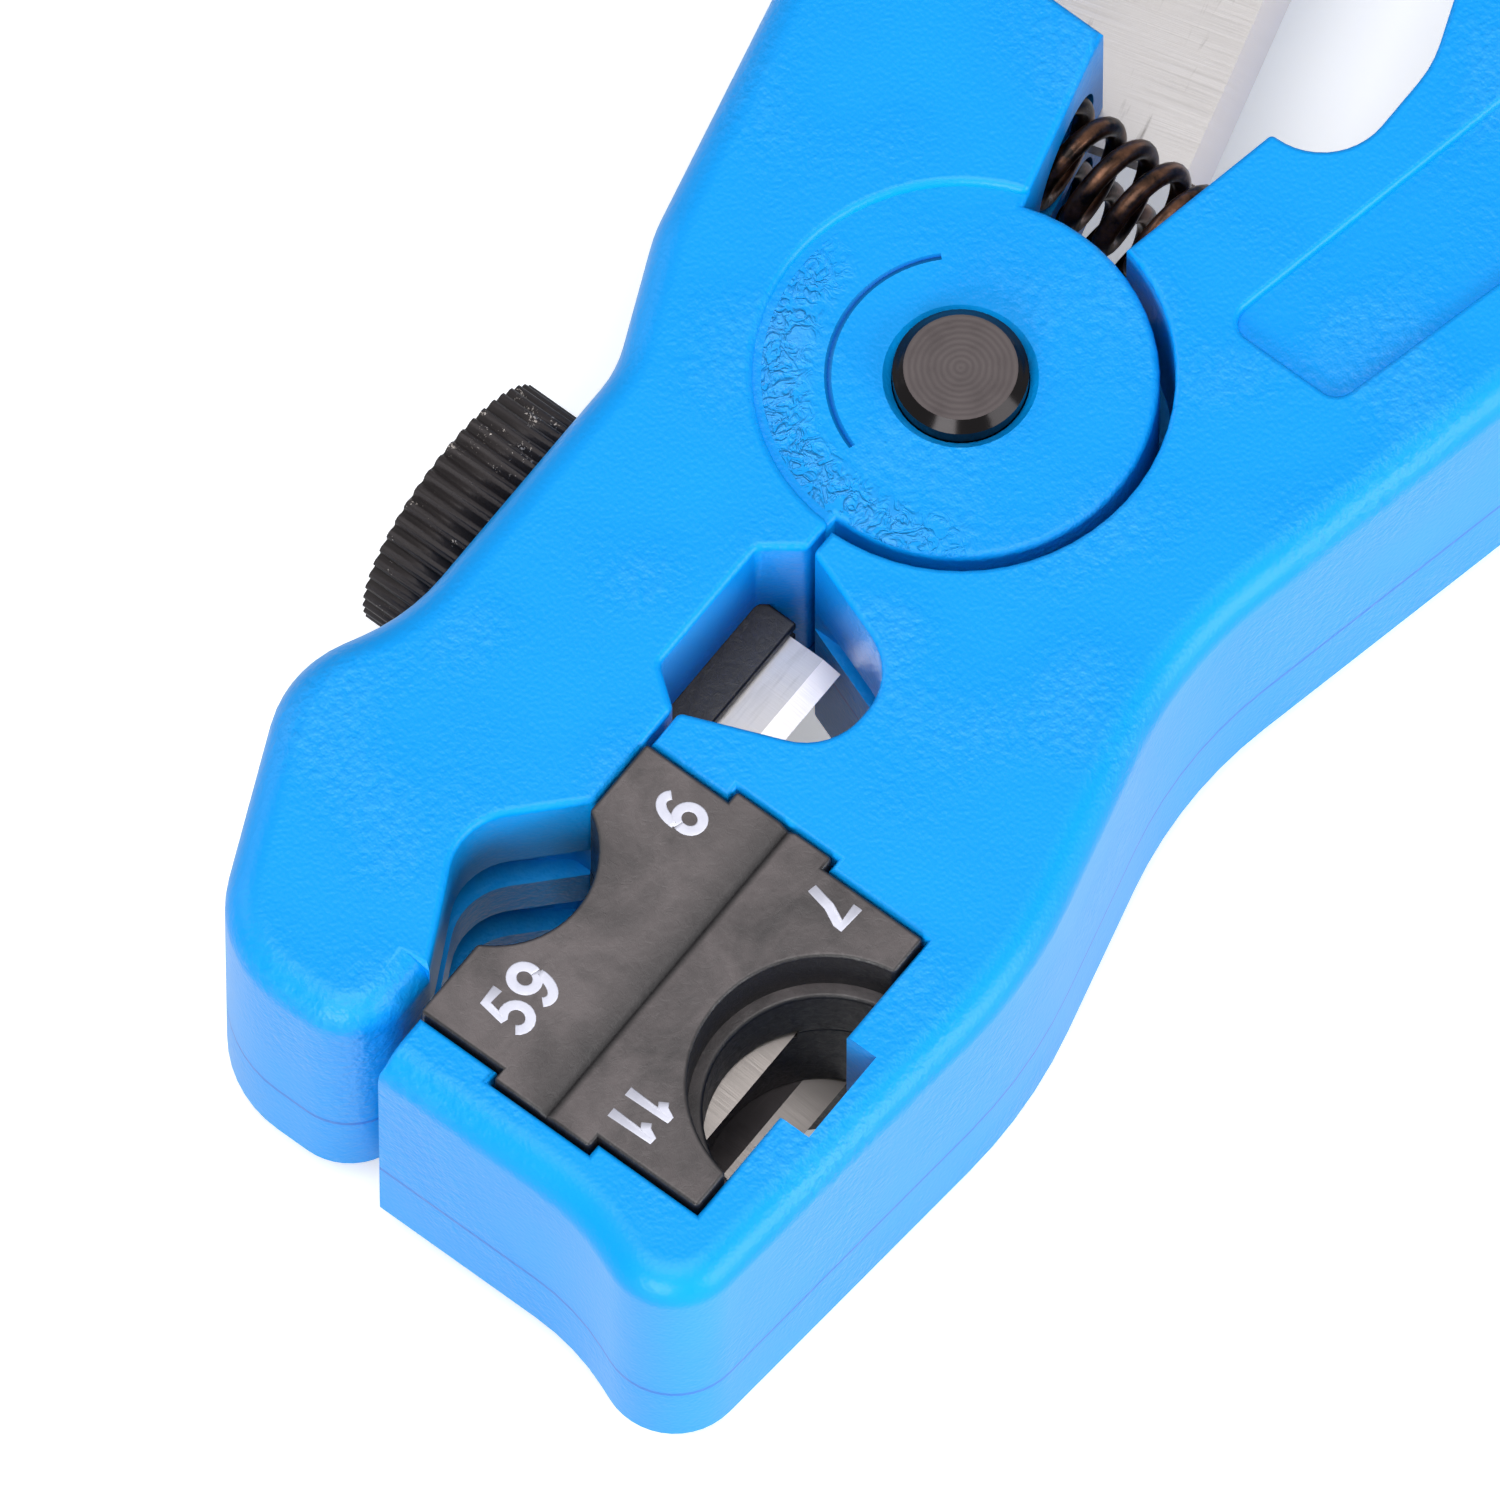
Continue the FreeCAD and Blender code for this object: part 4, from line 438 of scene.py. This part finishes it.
# Brass, turned: yellow metal, faintly clouded, seen only down the screw's channel.
def turnedBrass():
    look = {"colour": "#b8924d", "dull": "#a27c3c", "roughness": (0.25, 0.4), "cloudSize": 0.3333}
    material, tree, shader, place = newMaterial("turnedBrass", {"Metallic": 1.0})
    cloud = addNode(tree, "ShaderNodeTexNoise",
                    {"Scale": 1 / (look["cloudSize"] * mm), "Detail": 2.0},
                    {"Vector": (place, "Object")})
    tint = addNode(tree, "ShaderNodeMix",
                   {"data_type": "RGBA", 6: linearColour(look["colour"]),
                    7: linearColour(look["dull"])}, {0: (cloud, "Fac")})
    rough = addNode(tree, "ShaderNodeMapRange",
                    {"To Min": look["roughness"][0], "To Max": look["roughness"][1]},
                    {"Value": (cloud, "Fac")})
    tree.links.new(tint.outputs[2], shader.inputs["Base Color"])
    tree.links.new(rough.outputs[0], shader.inputs["Roughness"])
    return material


blue = blueAbs()
nylon = blackNylon()
plainNylon = blackNylon("innerNylon", 0.25)
cutterAngle = math.radians(15.5)
cutterSteel = groundSteel("cutterSteel", cutterAngle, 0.85)
stripSteel = groundSteel("stripSteel", 0.0, 0.3)
shadedSteel = groundSteel("shadedSteel", 0.0, 0.2, "#575253", "#a8a19c")
turned = turnedBlackSteel()
wire = oiledWire()
knurl = knurledBlack()
ink = whiteInk()
brass = turnedBrass()
print("materials ready")


def placedObject(name, mesh, material):
    data = bpy.data.meshes.new(name)
    mesh.to_mesh(data)
    mesh.free()
    piece = bpy.data.objects.new(name, data)
    bpy.context.scene.collection.objects.link(piece)
    finish(piece, material)
    for face in data.polygons:
        face.use_smooth = True
    return piece


# A copy of a part with its outward edges broken by a small round, as the mould leaves them.
# width: the round's size. above: only edges higher than this are rounded.
def roundedCopy(nodeName, pieceName, material, width, body=None, above=-1.0):
    # The gap beside the cassette comes so near to the outer round that its rim stays sharp:
    # it lies deeper than gapDepth and on the jaws' side of gapEnd.
    edges = {"segments": 3, "leastAngle": 50, "sharpAngle": 35, "flatAngle": 0.05,
             "gapEnd": -5.0, "gapDepth": -16.5}
    mesh = bmesh.new()
    mesh.from_mesh(nodes[nodeName].data)
    bmesh.ops.remove_doubles(mesh, verts=mesh.verts, dist=weldSize * mm)
    bmesh.ops.dissolve_limit(mesh, angle_limit=math.radians(edges["flatAngle"]), verts=mesh.verts,
                             edges=mesh.edges)
    outward = [edge for edge in mesh.edges if len(edge.link_faces) == 2 and edge.is_convex
               and edge.calc_face_angle() > math.radians(edges["leastAngle"])
               and min(vert.co.z for vert in edge.verts) > above * mm
               and (max(vert.co.x for vert in edge.verts) > edges["gapEnd"] * mm
                    or min(vert.co.y for vert in edge.verts) > edges["gapDepth"] * mm)]
    bmesh.ops.bevel(mesh, geom=outward, offset=width * mm, offset_type="OFFSET",
                    segments=edges["segments"], profile=0.5, affect="EDGES", clamp_overlap=False,
                    loop_slide=False, material=-1)
    for edge in mesh.edges:
        if len(edge.link_faces) == 2 and edge.calc_face_angle() > math.radians(edges["sharpAngle"]):
            edge.smooth = False
    piece = placedObject(pieceName, mesh, material)
    weighted = piece.modifiers.new("evenShading", "WEIGHTED_NORMAL")
    weighted.keep_sharp = True
    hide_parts(nodeName)
    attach(piece, body or nodeName)


topEdges = 17.0  # the levers are rounded at their upper face only
roundedCopy("knob_lever", "knobLeverShell", blue, 0.4, above=topEdges)
roundedCopy("cassette_lever", "cassetteLeverShell", blue, 0.3, above=topEdges)
roundedCopy("cassette_top", "cassetteTopLayer", nylon, 0.22, body="cassette")
roundedCopy("cassette_spacer", "cassetteSpacerLayer", plainNylon, 0.1, body="cassette")
roundedCopy("cassette_base", "cassetteBaseLayer", nylon, 0.2, body="cassette")
roundedCopy("blade_carrier", "bladeCarrierBlock", plainNylon, 0.15)
roundedCopy("pivot_pin", "pivotPinTurned", turned, 0.12, body="cassette_lever")
for screwName in ("heel_blade_screw", "far_blade_screw"):
    roundedCopy(screwName, screwName.replace("_", "") + "Head", turned, 0.1,
                body="knob_lever")
for nodeName, material in (("jacket_blade", shadedSteel), ("core_blade", shadedSteel),
                           ("window_blade", stripSteel), ("cutter_blade", cutterSteel),
                           ("friction_washer", plainNylon), ("screw_clip", wire),
                           ("threaded_insert", brass), ("window_blade_screw", turned)):
    finish(nodes[nodeName], material)
print("moulded parts and blades finished")


# Both springs: round wire, cold wound, standing one above the other between the handles.
def woundSpring(nodeName, pieceName):
    coil = {"wire": 1.0, "radius": 2.35, "pitch": 1.86, "stepsPerTurn": 36, "wireSides": 14}
    low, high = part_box(nodeName)
    centre = (low + high) / 2
    rise = high.y - low.y - coil["wire"] * mm
    turns = rise / (coil["pitch"] * mm)
    steps = round(turns * coil["stepsPerTurn"])
    mesh = bmesh.new()
    bmesh.ops.create_circle(mesh, segments=coil["wireSides"], radius=coil["wire"] / 2 * mm)
    start = Vector((centre.x + coil["radius"] * mm, low.y + coil["wire"] / 2 * mm, centre.z))
    bmesh.ops.rotate(mesh, verts=mesh.verts, cent=(0, 0, 0), matrix=Matrix.Rotation(math.pi / 2, 3, "Z"))
    bmesh.ops.translate(mesh, verts=mesh.verts, vec=start)
    bmesh.ops.contextual_create(mesh, geom=mesh.edges[:])
    bmesh.ops.spin(mesh, geom=mesh.faces[:] + mesh.edges[:] + mesh.verts[:],
                   cent=(centre.x, low.y, centre.z), axis=(0, -1, 0),
                   dvec=(0, rise / steps, 0), angle=2 * math.pi * turns, steps=steps,
                   use_duplicate=False)
    bmesh.ops.remove_doubles(mesh, verts=mesh.verts, dist=weldSize * mm)
    bmesh.ops.recalc_face_normals(mesh, faces=mesh.faces)
    piece = placedObject(pieceName, mesh, wire)
    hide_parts(nodeName)
    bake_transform(piece)


woundSpring("upper_spring", "upperSpringWire")
woundSpring("lower_spring", "lowerSpringWire")
print("springs wound")


def extruded(mesh, faces):
    # The new points and faces after an extrusion.
    grown = bmesh.ops.extrude_face_region(mesh, geom=faces)["geom"]
    return ([item for item in grown if isinstance(item, bmesh.types.BMVert)],
            [item for item in grown if isinstance(item, bmesh.types.BMFace)])


def upendedDisc(points, radius):
    # A filled circle that faces along Y.
    mesh = bmesh.new()
    bmesh.ops.create_circle(mesh, segments=points, radius=radius, cap_ends=True)
    bmesh.ops.rotate(mesh, verts=mesh.verts, cent=(0, 0, 0),
                     matrix=Matrix.Rotation(math.pi / 2, 3, "X"))
    return mesh


knobWidth = 4.0  # millimetres, from the knob's outer face to its inner one


# Thumb knob: rounded ridges all round, with a bevel at both rims.
def thumbKnob():
    knob = {"ridges": 48, "pointsPerRidge": 10, "radius": 6.5, "depth": 0.36, "valley": 0.35,
            "valleyCurve": 1.3, "bevel": 0.45, "bevelRise": 0.8}
    low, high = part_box("thumb_screw")
    face = high.y - knobWidth * mm
    count = knob["ridges"] * knob["pointsPerRidge"]
    mesh = upendedDisc(count, 1.0)
    for vert in mesh.verts:
        turn = math.atan2(vert.co.z, vert.co.x)
        wave = math.cos(turn * knob["ridges"])
        sunk = knob["depth"] * max(0.0, knob["valley"] - wave / 2) ** knob["valleyCurve"]
        vert.co = vert.co.normalized() * (knob["radius"] - sunk) * mm
    bmesh.ops.translate(mesh, verts=mesh.verts,
                        vec=((low.x + high.x) / 2, face, (low.z + high.z) / 2))
    bmesh.ops.recalc_face_normals(mesh, faces=mesh.faces)
    moved = extruded(mesh, mesh.faces[:])[0]
    bmesh.ops.translate(mesh, verts=moved, vec=(0, knobWidth * mm, 0))
    bmesh.ops.recalc_face_normals(mesh, faces=mesh.faces)
    caps = [ring for ring in mesh.faces if len(ring.verts) == count]
    for cap in caps:
        cap.normal_update()
        side = 1 if cap.calc_center_median().y > face + knobWidth / 2 * mm else -1
        rimVerts = cap.verts[:]
        bmesh.ops.inset_region(mesh, faces=[cap], thickness=knob["bevel"] * mm, use_even_offset=True)
        for vert in rimVerts:
            vert.co.y -= side * knob["bevel"] * knob["bevelRise"] * mm
    piece = placedObject("thumbKnobRidged", mesh, knurl)
    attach(piece, "thumb_screw")
    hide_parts("thumb_screw")


# The knob's screw: a plain neck, then a fine thread down to its end.
def screwStem():
    stem = {"points": 40, "neck": 1.88, "neckInKnob": 0.1, "neckEnd": 9.9, "threadStart": 9.8,
            "thread": 1.46, "threadDepth": 0.22, "pitch": 0.5}
    low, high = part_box("thumb_screw")
    centre = Vector(((low.x + high.x) / 2, 0, (low.z + high.z) / 2))
    start = high.y - (knobWidth - stem["neckInKnob"]) * mm
    mesh = upendedDisc(stem["points"], stem["neck"] * mm)
    bmesh.ops.translate(mesh, verts=mesh.verts, vec=(centre.x, start, centre.z))
    outline = [(stem["neck"], stem["neckEnd"]), (stem["thread"], stem["threadStart"])]
    place = stem["threadStart"]
    while place > low.y / mm + stem["pitch"]:
        outline += [(stem["thread"], place - stem["pitch"] * 0.1),
                    (stem["thread"] - stem["threadDepth"], place - stem["pitch"] * 0.5),
                    (stem["thread"], place - stem["pitch"] * 0.9)]
        place -= stem["pitch"]
    outline.append((stem["thread"], low.y / mm))
    caps = mesh.faces[:]
    for radius, height in outline:
        moved, caps = extruded(mesh, caps)
        for vert in moved:
            spoke = Vector((vert.co.x - centre.x, 0, vert.co.z - centre.z)).normalized()
            vert.co = Vector((centre.x, height * mm, centre.z)) + spoke * radius * mm
    bmesh.ops.recalc_face_normals(mesh, faces=mesh.faces)
    piece = placedObject("thumbScrewStem", mesh, turned)
    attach(piece, "thumb_screw")
    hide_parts("thumb_screw")


thumbKnob()
screwStem()
print("knob ridged")


# Cable sizes printed on the cassette: each pair reads from its own side.
# A digit is a few strokes in a box 1 high: its corners, or arcs given by centre, radii and angles.
def digitStrokes(digit):
    def arc(centreX, centreY, radiusX, radiusY, fromAngle, toAngle, steps=16):
        angles = [math.radians(fromAngle + (toAngle - fromAngle) * i / steps) for i in range(steps + 1)]
        return [(centreX + radiusX * math.cos(a), centreY + radiusY * math.sin(a)) for a in angles]
    if digit == "1":
        return [[(0.2, 0.68), (0.3, 0.74), (0.37, 0.9), (0.4, 0.9), (0.4, 0.09)]]
    if digit == "7":
        return [[(0.1, 0.9), (0.55, 0.9), (0.53, 0.82), (0.38, 0.52), (0.29, 0.09)]]
    if digit == "5":
        return [[(0.53, 0.91), (0.2, 0.91), (0.14, 0.53)]
                + arc(0.31, 0.34, 0.22, 0.24, 130, -150)]
    six = [arc(0.32, 0.33, 0.21, 0.23, 160, 520, 28),
           arc(0.34, 0.5, 0.24, 0.4, 185, 55, 14)]
    if digit == "6":
        return six
    return [[(0.64 - x, 1.0 - y) for x, y in stroke] for stroke in six]


def cableNumbers():
    digits = {"height": 2.75, "stroke": 0.5, "advance": 1.72, "narrow": 0.75, "halfWidth": 0.32,
              "thick": 0.03,
              "places": [("59", -36.9, -3.25, 0), ("6", -25.2, -3.4, 0),
                         ("7", -24.6, -11.5, 180), ("11", -38.0, -11.05, 180)]}
    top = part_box("cassette_top")[1].z
    for text, x, y, turn in digits["places"]:
        mesh = bmesh.new()
        gap = digits["advance"] * (digits["narrow"] if "1" in text else 1.0)
        for index, digit in enumerate(text):
            shift = (index - (len(text) - 1) / 2) * gap - digits["halfWidth"] * digits["height"]
            for stroke in digitStrokes(digit):
                curve = bpy.data.curves.new("stroke", "CURVE")
                curve.dimensions = "3D"
                curve.bevel_depth = digits["stroke"] / 2 * mm
                curve.bevel_resolution = 3
                curve.use_fill_caps = True
                line = curve.splines.new("POLY")
                line.points.add(len(stroke) - 1)
                for point, (across, up) in zip(line.points, stroke):
                    point.co = ((across * digits["height"] + shift) * mm,
                                (up - 0.5) * digits["height"] * mm, 0, 1)
                holder = bpy.data.objects.new("stroke", curve)
                bpy.context.scene.collection.objects.link(holder)
                bpy.context.view_layer.update()
                data = bpy.data.meshes.new_from_object(holder)
                bpy.data.objects.remove(holder)
                mesh.from_mesh(data)
                bpy.data.meshes.remove(data)
        bmesh.ops.remove_doubles(mesh, verts=mesh.verts, dist=2 * weldSize * mm)
        bmesh.ops.scale(mesh, verts=mesh.verts, vec=(1.0, 1.0, digits["thick"] / digits["stroke"]))
        bmesh.ops.rotate(mesh, verts=mesh.verts, cent=(0, 0, 0),
                         matrix=Matrix.Rotation(math.radians(turn), 3, "Z"))
        bmesh.ops.translate(mesh, verts=mesh.verts, vec=(x * mm, y * mm, top))
        bmesh.ops.recalc_face_normals(mesh, faces=mesh.faces)
        piece = placedObject("cableSize" + text, mesh, ink)
        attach(piece, "cassette")


cableNumbers()
print("numbers printed")


def seenDirectly(tree):
    # 1 where the eye meets a surface straight on, in a reflection or through glass, else 0.
    path = addNode(tree, "ShaderNodeLightPath")
    first = addNode(tree, "ShaderNodeMath", {"operation": "MAXIMUM"},
                    {0: (path, "Is Camera Ray"), 1: (path, "Is Glossy Ray")})
    return addNode(tree, "ShaderNodeMath", {"operation": "MAXIMUM"},
                   {0: (first, 0), 1: (path, "Is Transmission Ray")})


# Floor and light: the floor looks white, but throws no more light on the part than grey card.
def studio():
    stage = {"floor": "#ffffff", "bounce": "#858585", "floorSize": 4.0, "floorDrop": 0.05,
             "floorGlow": 0.38, "worldLight": 0.14, "worldSeen": 0.75, "bounces": 5,
             "diffuseBounces": 2, "glossyBounces": 3,
             "lamps": [("topLight", (-0.15, -0.05, 0.9), 5.8, 0.7),
                       ("keyLight", (-0.8, -0.25, 0.3), 5.0, 0.4),
                       ("frontLight", (0.1, -0.9, 0.25), 6.8, 0.6),
                       ("rimLight", (-0.2, 0.8, 0.4), 1.8, 0.5)]}
    mesh = bmesh.new()
    bmesh.ops.create_grid(mesh, x_segments=1, y_segments=1, size=stage["floorSize"] / 2)
    # A hair below the part, so that the two faces never flicker.
    bmesh.ops.translate(mesh, verts=mesh.verts, vec=(0, 0, -stage["floorDrop"] * mm))
    material, tree, shader = newMaterial("paleFloor", {
        "Emission Color": (1, 1, 1, 1), "Roughness": 0.9, "Specular IOR Level": 0.1})[:3]
    seen = seenDirectly(tree)
    paint = addNode(tree, "ShaderNodeMix",
                    {"data_type": "RGBA", 6: linearColour(stage["bounce"]),
                     7: linearColour(stage["floor"])}, {0: (seen, 0)})
    glow = addNode(tree, "ShaderNodeMath", {"operation": "MULTIPLY", 1: stage["floorGlow"]},
                   {0: (seen, 0)})
    tree.links.new(paint.outputs[2], shader.inputs["Base Color"])
    tree.links.new(glow.outputs[0], shader.inputs["Emission Strength"])
    floor = placedObject("floor", mesh, material)
    world = bpy.data.worlds.new("studio")
    bpy.context.scene.world = world
    world.use_nodes = True
    tree = world.node_tree
    tree.nodes.clear()
    seen = seenDirectly(tree)
    strength = addNode(tree, "ShaderNodeMapRange",
                       {"To Min": stage["worldLight"], "To Max": stage["worldSeen"]},
                       {"Value": (seen, 0)})
    sky = addNode(tree, "ShaderNodeBackground", {"Color": (1, 1, 1, 1)},
                  {"Strength": (strength, 0)})
    addNode(tree, "ShaderNodeOutputWorld", links={"Surface": (sky, "Background")})
    for name, spot, power, size in stage["lamps"]:
        lamp = bpy.data.lights.new(name, "AREA")
        lamp.energy = power
        lamp.size = size
        holder = bpy.data.objects.new(name, lamp)
        holder.location = spot
        holder.rotation_euler = Vector(spot).to_track_quat("Z", "Y").to_euler()
        bpy.context.scene.collection.objects.link(holder)
    bpy.context.scene.cycles.max_bounces = stage["bounces"]
    bpy.context.scene.cycles.diffuse_bounces = stage["diffuseBounces"]
    bpy.context.scene.cycles.glossy_bounces = stage["glossyBounces"]


# The camera stands far off behind a long lens, because the photo shows almost no perspective.
def photoCamera():
    view = {"azimuth": -52.3, "elevation": 66.2, "aim": (-20.75, -3.9, 18.0), "distance": 3000.0,
            "frameWidth": 68.2, "sensor": 36.0, "clipStart": 10.0}
    side = math.radians(view["azimuth"])
    rise = math.radians(view["elevation"])
    back = Vector((math.sin(side) * math.cos(rise), -math.cos(side) * math.cos(rise),
                   math.sin(rise)))
    lens = bpy.data.cameras.new("camera")
    lens.sensor_width = view["sensor"]
    lens.lens = view["sensor"] * view["distance"] / view["frameWidth"]
    lens.clip_start = view["clipStart"] * mm
    camera = bpy.data.objects.new("camera", lens)
    camera.location = (Vector(view["aim"]) + back * view["distance"]) * mm
    camera.rotation_euler = back.to_track_quat("Z", "Y").to_euler()
    bpy.context.scene.collection.objects.link(camera)
    bpy.context.scene.camera = camera


studio()
photoCamera()
bpy.context.scene.view_settings.view_transform = "Standard"
print("stage set")
